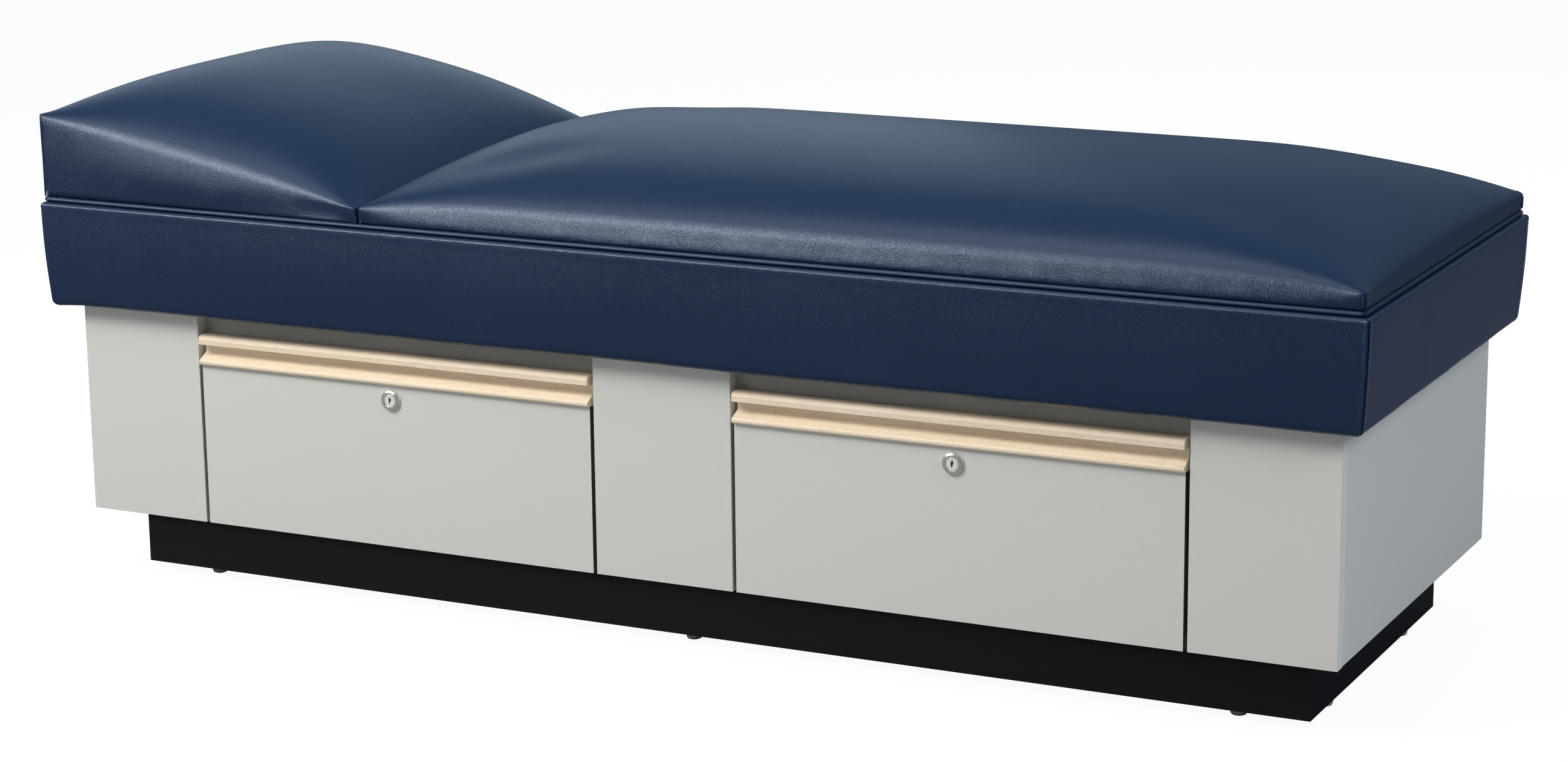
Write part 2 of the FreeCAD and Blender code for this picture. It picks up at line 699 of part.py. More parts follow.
# ---------------------------------------------------------------- couch top frame
FRAME_X, FRAME_Y = "-couch_length/2+rail_inset", "-couch_width/2+rail_inset"
FRAME_LENGTH, FRAME_WIDTH = "couch_length-2*rail_inset", "couch_width-2*rail_inset"


def couch_frame():
    """Long rails, end rails and crossbars under the plywood deck."""
    bottom = "apron_bottom+vinyl"
    height = "apron_height-2*vinyl-deck_thick"
    inner_y = FRAME_Y + "+rail_thick"
    inner_width = FRAME_WIDTH + "-2*rail_thick"
    for label, y in (("couch_front_rail", FRAME_Y),
                     ("couch_back_rail", "couch_width/2-rail_inset-rail_thick")):
        keep(board(label, FRAME_X, y, bottom, FRAME_LENGTH, "rail_thick", height))

    end_rail = board("couch_end_rail_master", "0", "0", "0", "rail_thick", inner_width,
                     height)
    group("couch_end_rails", end_rail,
          [(x, inner_y, bottom, UPRIGHT)
           for x in (FRAME_X, "couch_length/2-rail_inset-rail_thick")])

    # the crossbars rest on the cabinet's top
    crossbar = board("crossbar_master", "0", "0", "0", "crossbar_width", inner_width,
                     "apron_height-vinyl-deck_thick")
    drill(crossbar, "+Z",
          [("crossbar_width/2", shift("couch_width/2-rail_inset-rail_thick", y),
            "screw_radius") for y in TOP_SCREWS_Y],
          "0", "short_screw-board")
    group("couch_crossbars", crossbar,
          [(x + "-crossbar_width/2", inner_y, "apron_bottom", UPRIGHT)
           for x in CROSSBARS_X])

    keep(board("deck_board", FRAME_X, FRAME_Y, "apron_bottom+apron_height-vinyl-deck_thick",
               FRAME_LENGTH, FRAME_WIDTH, "deck_thick"))


couch_frame()


# ---------------------------------------------------------------- skirt
def fillet(body, name, radius, chosen):
    """Rounds the edges of the body's tip that chosen(bounding box) picks."""
    base = body.Tip
    names = ["Edge%d" % (i + 1) for i, e in enumerate(base.Shape.Edges)
             if chosen(e.BoundBox)]
    feature = body.newObject("PartDesign::Fillet", name)
    feature.Base = (base, names)
    feature.setExpression("Radius", bound(radius))
    doc.recompute()


def skirt_solid(label, inset):
    """The skirt's full outline, drawn in by the inset, with rolled top and bottom edges."""
    body = board(label, "-couch_length/2+apron_taper+" + inset,
                 "-couch_width/2+apron_taper+" + inset, "apron_bottom+" + inset,
                 "couch_length-2*apron_taper-2*" + inset,
                 "couch_width-2*apron_taper-2*" + inset, "apron_height-2*" + inset)
    body.Tip.setExpression("TaperAngle", bound("atan(apron_taper / apron_height)"))
    doc.recompute()
    top = body.Tip.Shape.BoundBox.ZMax
    fillet(body, label + "_corners", "skirt_corner-" + inset,
           lambda box: box.ZLength > 100)
    for level in (top, 0.0):
        fillet(body, label + "_roll", "skirt_roll-" + inset,
               lambda box: abs(box.ZMin - level) < 1e-3 and abs(box.ZMax - level) < 1e-3)
    return body


def cutter(name, x, y, z, length, width, height):
    box = doc.addObject("Part::Box", name)
    box.setExpression("Length", bound(length))
    box.setExpression("Width", bound(width))
    box.setExpression("Height", bound(height))
    bind_place(box, x, y, z)
    return box


def cut(label, base, tool):
    result = doc.addObject("Part::Cut", label)
    result.Label = label
    result.Base = base
    result.Tool = tool
    keep(result)


def skirt():
    """The cover, and the thin foam between it and the frame."""
    skin = skirt_solid("skirt_skin", "0")
    former = skirt_solid("skirt_former", "vinyl")
    # the cover turns over the deck at the top and under the rails at the bottom
    top_mouth = cutter("skirt_top_mouth", "-couch_length/2+top_turn",
                       "-couch_width/2+top_turn", "apron_bottom+apron_height-cutter_reach",
                       "couch_length-2*top_turn", "couch_width-2*top_turn",
                       "2*cutter_reach")
    low_mouth = cutter("skirt_low_mouth", "-end_panels_length/2-mouth_end_gap",
                       "-half_depth-mouth_side_gap", "apron_bottom-cutter_reach",
                       "end_panels_length+2*mouth_end_gap",
                       "2*half_depth+2*mouth_side_gap", "low_mouth_height")
    removed = doc.addObject("Part::MultiFuse", "skirt_removed")
    removed.Shapes = [former, top_mouth, low_mouth]
    cut("apron_cover", skin, removed)
    core = cutter("skirt_core", FRAME_X, FRAME_Y, "apron_bottom-cutter_reach",
                  FRAME_LENGTH, FRAME_WIDTH, "apron_height+2*cutter_reach")
    cut("apron_padding", former, core)


def welt_cord():
    """A cord that follows the skirt's top edge, swept round a rounded rectangle."""
    half_x, half_y = "couch_length/2-welt_inset", "couch_width/2-welt_inset"
    out_x, out_y = num(half_x), num(half_y)
    corner = SIZE["welt_corner"]
    in_x, in_y = out_x - corner, out_y - corner
    welt = new_body("welt_cord", "0", "0", "welt_height")
    path = new_sketch(welt, "XY_Plane")
    # straight run from start to end, then the centre and start angle of the next bend
    for start, end, centre, angle in (
        ((-in_x, -out_y), (in_x, -out_y), (in_x, -in_y), -90),
        ((out_x, -in_y), (out_x, in_y), (in_x, in_y), 0),
        ((in_x, out_y), (-in_x, out_y), (-in_x, in_y), 90),
        ((-out_x, in_y), (-out_x, -in_y), (-in_x, -in_y), 180),
    ):
        path.addGeometry(Part.LineSegment(Vector(*start, 0), Vector(*end, 0)), False)
        bend = Part.Circle(Vector(*centre, 0), Vector(0, 0, 1), corner)
        path.addGeometry(
            Part.ArcOfCircle(bend, math.radians(angle), math.radians(angle + 90)), False)
    for i in range(8):
        path.addConstraint(Sketcher.Constraint("Tangent", i, 2, (i + 1) % 8, 1))
    for i in (0, 4):
        path.addConstraint(Sketcher.Constraint("Horizontal", i))
    for i in (2, 6):
        path.addConstraint(Sketcher.Constraint("Vertical", i))
    for i in (3, 5, 7):
        path.addConstraint(Sketcher.Constraint("Equal", 1, i))
    dimension(path, "Radius", (1,), "welt_corner")
    dimension(path, "DistanceX", (-1, 1, 2, 1), half_x)
    dimension(path, "DistanceY", (-1, 1, 4, 1), half_y)
    dimension(path, "DistanceX", (6, 1, -1, 1), half_x)
    dimension(path, "DistanceY", (0, 1, -1, 1), half_y)
    ring = new_sketch(welt, "XZ_Plane")
    circle(ring, half_x, "0", "welt_radius")
    pipe = welt.newObject("PartDesign::AdditivePipe", "welt_pipe")
    pipe.Profile = ring
    pipe.Spine = path
    keep(welt)


skirt()
welt_cord()

# ---------------------------------------------------------------- cushion and pillow
# along runs from -1 at the head end of a piece to 1 at its foot end; across runs from -1
# to 1 over its width.
SECTIONS = 15
SECTION_POINTS = 17


def bulge(place, power, root):
    """A dome from 1 at place 0 to 0 at -1 and 1: power squares its shoulders, and a
    smaller root makes its ends steeper."""
    return max(0.0, 1.0 - abs(place) ** power) ** root


def stations(count, crowding):
    """Places from -1 to 1, closer together towards the ends."""
    places = []
    for i in range(count):
        even = -1.0 + 2.0 * i / (count - 1)
        places.append(math.copysign(1 - (1 - abs(even)) ** crowding, even))
    return places


def crowned(x0, x1, half, edge, crown, drop):
    """A closed crowned solid: sections across the couch, joined along its length.
    edge(along) and crown(along, across) give heights; drop lowers the whole top."""
    base = SIZE["cushion_base"]
    wires = []
    for along in stations(SECTIONS, crowding=1.6):
        x = x0 + (x1 - x0) * (along + 1) / 2
        edge_z = edge(along) - drop
        top = Part.BSplineCurve()
        top.interpolate([Vector(x, half * across, edge_z + crown(along, across))
                         for across in stations(SECTION_POINTS, crowding=1.9)])
        ring = [(half, edge_z), (half - SIZE["cushion_tuck"], base)]
        ring += [(-y, z) for y, z in reversed(ring)]
        ring = [Vector(x, y, z) for y, z in ring]
        edges = [top.toShape()]
        edges += [Part.makeLine(a, b) for a, b in zip(ring, ring[1:])]
        wires.append(Part.Wire(edges))
    return Part.makeLoft(wires, True, True)


def main_edge(along):
    return SIZE["cushion_edge"]


def main_crown(along, across):
    return (SIZE["cushion_crown"] * bulge(along, power=6.46, root=0.552)
            * bulge(across, power=1.778, root=0.36))


def pillow_line(along):
    """The pillow's side edge falls straight from the head end to the cushion's edge."""
    part = (along + 1) / 2
    return SIZE["pillow_edge"] + (SIZE["cushion_edge"] - SIZE["pillow_edge"]) * part


def pillow_dome(along, across):
    part = (along + 1) / 2
    # the exponent moves the dome's peak a little towards the head end
    skewed = 2 * part ** 0.924 - 1 if part > 0 else -1.0
    return (SIZE["pillow_crown"] * bulge(skewed, power=2.562, root=0.781)
            * bulge(across, power=3.123, root=0.45))


def feature(label, shape):
    piece = doc.addObject("Part::Feature", label)
    piece.Label = label
    piece.Shape = shape
    keep(piece)


def upholstery(label, x0, x1, low_x0, low_x1, edge, crown):
    """A foam and its cover. low_x0 and low_x1 bound the foam's low part, inside the welt."""
    skin = SIZE["vinyl"]
    half = SIZE["cushion_half"]
    outer = crowned(x0, x1, half, edge, crown, drop=0.0)
    inner = crowned(x0 + skin, x1 - skin, half - skin, edge, crown, drop=skin)
    deck_top = num("apron_bottom+apron_height-vinyl")
    low_y = num("couch_width/2-foam_setback-welt_inset")
    low = Part.makeBox(low_x1 - low_x0, 2 * low_y, SIZE["cushion_base"] - deck_top,
                       Vector(low_x0, -low_y, deck_top))
    feature(label + "_foam", inner.fuse(low).removeSplitter())
    feature(label + "_cover", outer.cut(inner))


low_end = num("couch_length/2-foam_setback-welt_inset")
upholstery("main_cushion", num("pillow_seam+seam_gap"), SIZE["cushion_end"],
           num("pillow_seam+seam_gap+vinyl"), low_end, main_edge, main_crown)
upholstery("pillow", -SIZE["head_end"], num("pillow_seam-seam_gap"),
           -low_end, num("pillow_seam-seam_gap-vinyl"), pillow_line, pillow_dome)

# ---------------------------------------------------------------- checks and export
doc.recompute()
bad = []
for item in doc.Objects:
    if any(word in ("Invalid", "Error") for word in item.State):
        bad.append("%s: %s" % (item.Name, item.State))
seen = set()
for node in NODES:
    if node.Shape.isNull() or not node.Shape.isValid() or not node.Shape.Solids:
        bad.append("%s: no valid solid" % node.Label)
    if node.Label in seen:
        bad.append("%s: label used twice" % node.Label)
    seen.add(node.Label)
if bad:
    raise RuntimeError("; ".join(bad))
os.makedirs("parts", exist_ok=True)
for node in NODES:
    node.Shape.exportStep(os.path.join("parts", node.Label + ".step"))
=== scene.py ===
# An upholstered recovery couch: a long crowned cushion, a raised head pillow and a hanging
# skirt on a laminate cabinet with two drawers. The length lies along X with the head end at
# -X, the front with its drawers faces -Y, and the floor is at z = 0.
# Meshes are worked out in millimetres and stored in metres. Materials, lights and camera
# are in metres. The CAD pieces give the places and sizes.
import math

import bmesh
import bpy
import numpy as np
from mathutils import Matrix, Vector


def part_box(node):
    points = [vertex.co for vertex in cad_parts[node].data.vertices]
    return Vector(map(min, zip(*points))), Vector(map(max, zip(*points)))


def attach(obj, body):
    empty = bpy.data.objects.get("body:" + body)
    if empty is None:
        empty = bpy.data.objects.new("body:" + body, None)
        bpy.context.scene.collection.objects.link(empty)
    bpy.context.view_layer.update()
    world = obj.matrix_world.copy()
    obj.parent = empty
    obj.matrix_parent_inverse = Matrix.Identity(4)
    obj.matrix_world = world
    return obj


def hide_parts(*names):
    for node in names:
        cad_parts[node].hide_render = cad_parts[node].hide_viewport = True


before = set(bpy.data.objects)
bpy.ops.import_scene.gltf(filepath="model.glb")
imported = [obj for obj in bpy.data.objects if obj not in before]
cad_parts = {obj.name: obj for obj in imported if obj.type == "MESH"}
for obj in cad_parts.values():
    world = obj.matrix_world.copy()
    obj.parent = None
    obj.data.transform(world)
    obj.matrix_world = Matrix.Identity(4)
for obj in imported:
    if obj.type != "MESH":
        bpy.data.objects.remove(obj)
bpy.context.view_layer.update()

scene = bpy.context.scene
collection = scene.collection


def box_mm(node):
    lo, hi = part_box(node)
    return np.array(lo) * 1000.0, np.array(hi) * 1000.0


# ------------------------------------------------------------------ shader node helpers
def tinted(colour, factor, lift=0.0):
    return tuple(min(1, c * factor + lift) for c in colour)


def axis_scale(axis, along, across=1):
    """A mapping scale with its own value along one axis; all the same if axis is None."""
    return tuple(along if a == axis else across for a in "XYZ")


class Nodes:
    """The emptied node tree of a material or world, with short ways to add to it."""

    def __init__(self, owner):
        owner.use_nodes = True
        self.tree = owner.node_tree
        self.tree.nodes.clear()

    def add(self, kind, **props):
        new = self.tree.nodes.new(kind)
        for key, value in props.items():
            setattr(new, key, value)
        return new

    def feed(self, target, value):
        """Links a socket to the target, or sets a plain value on it."""
        if isinstance(value, bpy.types.NodeSocket):
            self.tree.links.new(value, target)
        else:
            target.default_value = value

    def coords(self, scale=(1, 1, 1)):
        source = self.add("ShaderNodeTexCoord")
        mapping = self.add("ShaderNodeMapping")
        self.feed(mapping.inputs["Vector"], source.outputs["Object"])
        mapping.inputs["Scale"].default_value = scale
        return mapping.outputs[0]

    def noise(self, vector, scale, detail=2.0, roughness=0.5, distortion=0.0):
        new = self.add("ShaderNodeTexNoise")
        for key, value in (("Vector", vector), ("Scale", scale), ("Detail", detail),
                           ("Roughness", roughness), ("Distortion", distortion)):
            self.feed(new.inputs[key], value)
        return new.outputs["Fac"]

    def voronoi(self, vector, scale, feature="F1", smoothness=None):
        new = self.add("ShaderNodeTexVoronoi", feature=feature)
        self.feed(new.inputs["Vector"], vector)
        new.inputs["Scale"].default_value = scale
        if smoothness is not None:
            new.inputs["Smoothness"].default_value = smoothness
        return new.outputs["Distance"]

    def math(self, operation, first, second=0.0):
        new = self.add("ShaderNodeMath", operation=operation)
        self.feed(new.inputs[0], first)
        self.feed(new.inputs[1], second)
        return new.outputs[0]

    def weighted(self, *terms):
        """The sum of (value, weight) pairs."""
        total = None
        for value, weight in terms:
            term = self.math("MULTIPLY", value, weight)
            total = term if total is None else self.math("ADD", total, term)
        return total

    def ramp(self, factor, stops):
        """A colour ramp through (position, colour) stops."""
        new = self.add("ShaderNodeValToRGB")
        self.feed(new.inputs[0], factor)
        elements = new.color_ramp.elements
        while len(elements) < len(stops):
            elements.new(0.5)
        for element, (position, colour) in zip(elements, stops):
            element.position = position
            element.color = (*colour, 1)
        return new.outputs[0]

    def remap(self, value, span, to=(0.0, 1.0)):
        new = self.add("ShaderNodeMapRange")
        self.feed(new.inputs["Value"], value)
        for key, limit in zip(("From Min", "From Max", "To Min", "To Max"), (*span, *to)):
            new.inputs[key].default_value = limit
        return new.outputs[0]

    def mix(self, factor, first, second):
        """Mixes two colours, each a socket or an RGB tuple."""
        new = self.add("ShaderNodeMix", data_type="RGBA", blend_type="MIX")
        self.feed(new.inputs["Factor"], factor)
        for key, colour in (("A", first), ("B", second)):
            is_socket = isinstance(colour, bpy.types.NodeSocket)
            self.feed(new.inputs[key], colour if is_socket else (*colour, 1))
        return new.outputs["Result"]

    def scale_brightness(self, colour, factor):
        new = self.add("ShaderNodeHueSaturation")
        self.feed(new.inputs["Color"], colour)
        self.feed(new.inputs["Value"], factor)
        return new.outputs[0]

    def bump(self, height, strength, distance, normal=None):
        new = self.add("ShaderNodeBump")
        new.inputs["Strength"].default_value = strength
        new.inputs["Distance"].default_value = distance
        self.feed(new.inputs["Height"], height)
        if normal is not None:
            self.feed(new.inputs["Normal"], normal)
        return new.outputs[0]

    def edge_wear(self, radius):
        """1 at edges and 0 on flats, from how far the bevelled normal turns."""
        bevel = self.add("ShaderNodeBevel", samples=4)
        bevel.inputs["Radius"].default_value = radius
        geometry = self.add("ShaderNodeNewGeometry")
        dot = self.add("ShaderNodeVectorMath", operation="DOT_PRODUCT")
        self.feed(dot.inputs[0], bevel.outputs[0])
        self.feed(dot.inputs[1], geometry.outputs["Normal"])
        return self.remap(dot.outputs["Value"], span=(1.0, 0.86))

    def geometry_part(self, output, axis):
        """One component of a vector from the geometry node."""
        geometry = self.add("ShaderNodeNewGeometry")
        parts = self.add("ShaderNodeSeparateXYZ")
        self.feed(parts.inputs[0], geometry.outputs[output])
        return parts.outputs[axis]


class Surface(Nodes):
    """A new material with a Principled shader."""

    def __init__(self, name):
        self.material = bpy.data.materials.new(name)
        super().__init__(self.material)
        output = self.add("ShaderNodeOutputMaterial")
        self.shader = self.add("ShaderNodeBsdfPrincipled")
        self.feed(output.inputs[0], self.shader.outputs[0])

    def set(self, name, value):
        self.feed(self.shader.inputs[name], value)


# ------------------------------------------------------------------ materials
def vinyl(name, base, rough=0.25, grain=1.0):
    """Upholstery vinyl: pebbled grain of about a millimetre, fine creases, soft sheen."""
    surface = Surface(name)
    place = surface.coords()
    warp = surface.noise(place, scale=260)
    cells = surface.voronoi(place, scale=900, feature="SMOOTH_F1", smoothness=0.35)
    veins = surface.voronoi(place, scale=620, feature="DISTANCE_TO_EDGE")
    veins = surface.remap(veins, span=(0.0, 0.16))
    height = surface.weighted((cells, -0.7), (veins, 0.55), (warp, 0.5))
    fine = surface.bump(height, strength=0.40 * grain, distance=0.0003)
    slow = surface.noise(place, scale=9, detail=3, roughness=0.55)
    surface.set("Normal", surface.bump(slow, strength=0.10, distance=0.004, normal=fine))
    tone = surface.noise(place, scale=5.5, detail=3)
    colour = surface.mix(tone, tinted(base, 0.93), tinted(base, 1.07))
    speck = surface.remap(veins, span=(0.0, 1.0), to=(0.90, 1.03))
    surface.set("Base Color", surface.scale_brightness(colour, speck))
    unevenness = surface.weighted((tone, 0.5), (height, 0.5))
    surface.set("Roughness", surface.remap(unevenness, span=(0.0, 1.0),
                                           to=(rough - 0.05, rough + 0.06)))
    surface.set("IOR", 1.46)
    surface.set("Specular IOR Level", 0.5)
    surface.set("Specular Tint", (0.76, 0.87, 1.0, 1))
    return surface.material


def laminate(name, base, rough=0.42, mottle=0.016, pebble=0.25, spec=0.4, x_faces_painted_light=None,
             line_y=None):
    """Textured laminate board: a fine pebble, faint mottling, lighter edges.
    x_faces_painted_light gives the faces that look along X their own colour, as painted light
    and shade: a painted highlight on the stiles' sides, painted shade on the drawer fronts'
    sides; everything in front of line_y goes dark."""
    surface = Surface(name)
    place = surface.coords()
    fine = surface.noise(place, scale=330, detail=4, roughness=0.6)
    slow = surface.noise(place, scale=2.2)
    pebbles = surface.noise(place, scale=1150)
    mottling = surface.weighted((fine, 0.75), (slow, 0.25))
    colour = surface.mix(surface.remap(mottling, span=(0.3, 0.7)),
                         tinted(base, 1 - mottle), tinted(base, 1 + mottle))
    wear = surface.edge_wear(radius=0.0008)
    patches = surface.remap(surface.noise(place, scale=60, detail=3),
                            span=(0.4, 0.7), to=(0.0, 0.25))
    scuff = surface.math("MULTIPLY", wear, patches)
    colour = surface.mix(scuff, colour, tinted(base, 1.15, lift=0.02))
    # painted light and shade: faces that look along X get their own colour, lighter on the
    # stiles as a painted highlight, near-black on the drawer fronts as painted shade
    if x_faces_painted_light is not None:
        facing_x = surface.math("ABSOLUTE", surface.geometry_part("True Normal", "X"))
        colour = surface.mix(surface.math("GREATER_THAN", facing_x, 0.8), colour, x_faces_painted_light)
    if line_y is not None:
        in_front = surface.math("LESS_THAN", surface.geometry_part("Position", "Y"), line_y)
        colour = surface.mix(surface.math("MULTIPLY", in_front, 0.85), colour,
                             (0.03, 0.03, 0.03))
    surface.set("Base Color", colour)
    surface.set("Roughness", surface.remap(pebbles, span=(0.3, 0.7),
                                           to=(rough - 0.06, rough + 0.06)))
    surface.set("Normal", surface.bump(pebbles, strength=pebble, distance=0.00012))
    surface.set("Specular IOR Level", spec)
    return surface.material


def wood(name, pale, dark, axis="X", scale=1.0, rough=0.38, contrast=1.0, spec=0.5):
    """Lacquered wood with long grain, pores and slow figure along one axis."""
    surface = Surface(name)
    place = surface.coords(axis_scale(axis, along=0.05 * scale, across=scale))
    figure = surface.noise(place, scale=55, detail=4, roughness=0.55, distortion=0.6)
    fibre = surface.noise(place, scale=620, detail=3, roughness=0.6, distortion=0.2)
    pores = surface.noise(place, scale=1500)
    slow = surface.noise(surface.coords(), scale=6)
    grain = surface.weighted((figure, 0.55), (fibre, 0.3), (slow, 0.15))
    middle = tuple((p + d) / 2 for p, d in zip(pale, dark))
    spread = 0.13 * contrast
    colour = surface.ramp(grain, [(0.5 - spread * 1.6, dark), (0.5, middle),
                                  (0.5 + spread * 1.2, pale)])
    pore_shade = surface.remap(pores, span=(0.30, 0.42), to=(0.72, 1.0))
    surface.set("Base Color", surface.scale_brightness(colour, pore_shade))
    surface.set("Roughness", surface.remap(fibre, span=(0.3, 0.7),
                                           to=(rough - 0.05, rough + 0.08)))
    surface.set("Normal", surface.bump(fibre, strength=0.25, distance=0.00015))
    surface.set("Specular IOR Level", spec)
    return surface.material


def metal(name, base, rough=0.25, brushed=None, metallic=1.0):
    """Smudged metal with fine streaks, drawn out along the brushed axis if there is one."""
    surface = Surface(name)
    place = surface.coords(axis_scale(brushed, along=0.02))
    streak = surface.noise(place, scale=1800, detail=3, roughness=0.6)
    smudge = surface.noise(surface.coords(), scale=70, detail=3)
    surface.set("Base Color", surface.mix(surface.remap(smudge, span=(0.3, 0.7)),
                                          tinted(base, 0.94), base))
    surface.set("Metallic", metallic)
    unevenness = surface.weighted((streak, 0.12), (smudge, 0.1))
    surface.set("Roughness", surface.remap(unevenness, span=(0.0, 0.2),
                                           to=(rough * 0.75, rough * 1.3)))
    surface.set("Normal", surface.bump(streak, strength=0.06, distance=0.0001))
    return surface.material


def plastic(name, base, rough=0.45):
    surface = Surface(name)
    place = surface.coords()
    grain = surface.noise(place, scale=900, detail=3)
    tone = surface.noise(place, scale=30, detail=3)
    surface.set("Base Color", surface.mix(tone, tinted(base, 0.9), tinted(base, 1.08)))
    surface.set("Roughness", surface.remap(grain, span=(0.3, 0.7),
                                           to=(rough - 0.08, rough + 0.08)))
    surface.set("Normal", surface.bump(grain, strength=0.2, distance=0.0001))
    return surface.material


def foam(name, base):
    surface = Surface(name)
    place = surface.coords()
    cells = surface.voronoi(place, scale=700)
    tone = surface.noise(place, scale=12, detail=3)
    surface.set("Base Color", surface.mix(tone, tinted(base, 0.88), base))
    surface.set("Roughness", 0.9)
    surface.set("Normal", surface.bump(cells, strength=0.6, distance=0.0006))
    return surface.material


NAVY = (0.0080, 0.0205, 0.0545)
GREY_BOARD = (0.60, 0.597, 0.57)
LUMBER = {"pale": (0.62, 0.45, 0.27), "dark": (0.42, 0.27, 0.14),
          "scale": 0.7, "rough": 0.6, "contrast": 1.4}
MATERIALS = {
    "vinyl": vinyl("navy_vinyl", NAVY),
    "welt": vinyl("navy_welt", tinted(NAVY, 0.95), rough=0.42, grain=0.6),
    "thread": plastic("navy_thread", (0.15, 0.17, 0.36), rough=0.55),
    # near-black thread for the corner seams: stitching whose darkness also paints the shadow
    # in the seam grooves
    "seam": plastic("seam_thread_painted_shadow", (0.0015, 0.0018, 0.004), rough=0.8),
    # black for the keyway and the gap round the lock plug: painted shade of these hollows
    "key": plastic("keyway_painted_shade", (0.004, 0.004, 0.004), rough=0.5),
    # the stiles' side faces are painted lighter than the board: a painted highlight along the
    # stile edges
    "laminate": laminate("grey_laminate", GREY_BOARD, x_faces_painted_light=(0.70, 0.70, 0.68)),
    # the drawer fronts' side faces are painted near-black: painted shade in the gaps beside
    # the drawers
    "drawer": laminate("grey_laminate_drawer_painted_shade", GREY_BOARD, x_faces_painted_light=(0.045, 0.045, 0.048)),
    # the recessed rail gets a darker copy of the grey laminate: painted shade from the skirt's
    # overhang
    "rail": laminate("grey_laminate_rail_painted_shade", (0.36, 0.355, 0.335), rough=0.5),
    "laminate_edge": laminate("grey_laminate_inside", (0.56, 0.555, 0.53), rough=0.5,
                              mottle=0.02),
    # the end panels get a cooler, slightly lighter copy of the grey laminate: a painted tint
    # of the cool light falling on the sides
    "end": laminate("grey_laminate_end_painted_cool_light", (0.62, 0.63, 0.625), line_y=-0.2879),
    "black": laminate("black_laminate", (0.0025, 0.0025, 0.0024), rough=0.46, mottle=0.15,
                      pebble=0.35, spec=0.22),
    "maple": wood("maple", (0.845, 0.72, 0.565), (0.775, 0.64, 0.465), rough=0.5, spec=0.28),
    "dowel": wood("beech_dowel", (0.72, 0.52, 0.33), (0.52, 0.34, 0.2), axis="Z"),
    "lumber_x": wood("frame_lumber_x", axis="X", **LUMBER),
    "lumber_y": wood("frame_lumber_y", axis="Y", **LUMBER),
    "ply": wood("deck_ply", (0.60, 0.42, 0.25), (0.40, 0.25, 0.13), scale=0.5, rough=0.6,
                contrast=1.6),
    "melamine": laminate("white_melamine", (0.74, 0.74, 0.71), rough=0.35, mottle=0.015,
                         pebble=0.12),
    "zinc": metal("zinc_steel", (0.60, 0.61, 0.63), rough=0.32, brushed="Y"),
    "screw": metal("screw_steel", (0.55, 0.50, 0.36), rough=0.3),
    "chrome": metal("lock_chrome", (0.80, 0.79, 0.74), rough=0.14, metallic=0.78),
    "plug": metal("lock_nickel", (0.86, 0.84, 0.76), rough=0.3, metallic=0.35),
    "glide": plastic("glide_nylon", (0.42, 0.42, 0.41), rough=0.4),
    "foam": foam("cut_foam", (0.78, 0.72, 0.52)),
}


# ------------------------------------------------------------------ mesh helpers
def make_mesh(name, points_mm, faces, material):
    mesh = bpy.data.meshes.new(name)
    mesh.from_pydata([tuple(p) for p in np.asarray(points_mm) * 0.001], [], faces)
    mesh.validate()
    mesh.update()
    mesh.polygons.foreach_set("use_smooth", np.ones(len(mesh.polygons), bool))
    obj = bpy.data.objects.new(name, mesh)
    collection.objects.link(obj)
    mesh.materials.append(material)
    return obj


def edit_mesh(obj, edit):
    bm = bmesh.new()
    bm.from_mesh(obj.data)
    edit(bm)
    bm.to_mesh(obj.data)
    bm.free()
    obj.data.update()


def fix_normals(obj):
    edit_mesh(obj, lambda bm: bmesh.ops.recalc_face_normals(bm, faces=bm.faces))


def read_vectors(mesh, key):
    values = np.zeros(len(mesh.vertices) * 3)
    mesh.vertices.foreach_get(key, values)
    return values.reshape(-1, 3)


def get_points(mesh):
    return read_vectors(mesh, "co") * 1000.0


def set_points(mesh, points):
    mesh.vertices.foreach_set("co", (points * 0.001).astype(np.float32).ravel())
    mesh.update()


def relax(mesh, values, weight, rounds):
    """Moves each vertex's vector towards the mean of its neighbours', in place."""
    ends = np.zeros(len(mesh.edges) * 2, np.int32)
    mesh.edges.foreach_get("vertices", ends)
    first, second = ends[0::2], ends[1::2]
    total = len(values)
    count = np.bincount(first, minlength=total) + np.bincount(second, minlength=total)
    for _ in range(rounds):
        for c in range(3):
            mean = (np.bincount(first, values[second, c], total)
                    + np.bincount(second, values[first, c], total)) / count
            values[:, c] += weight * (mean - values[:, c])


def smooth_noise(count, spacing, seed):
    """Smooth noise along a closed run of samples, about -1 to 1, with a knot every spacing."""
    knots = int(count / spacing)
    heights = np.random.default_rng(seed).uniform(-1, 1, knots)
    heights[-1] = heights[0]
    x = np.linspace(0, knots - 1, count)
    i = np.clip(x.astype(int), 0, knots - 2)
    blend = x - i
    blend = blend * blend * (3 - 2 * blend)
    return heights[i] * (1 - blend) + heights[i + 1] * blend


def summed_noise(count, layers):
    """Layers are (amplitude, spacing, seed)."""
    return sum(amp * smooth_noise(count, spacing, seed) for amp, spacing, seed in layers)


def tube_faces(stations, ring):
    """Faces of a closed tube whose points run ring by ring."""
    faces = []
    for i in range(stations - 1):
        for k in range(ring):
            after = (k + 1) % ring
            faces.append((i * ring + k, i * ring + after,
                          (i + 1) * ring + after, (i + 1) * ring + k))
    faces.append(tuple(range(ring))[::-1])
    faces.append(tuple((stations - 1) * ring + k for k in range(ring)))
    return faces


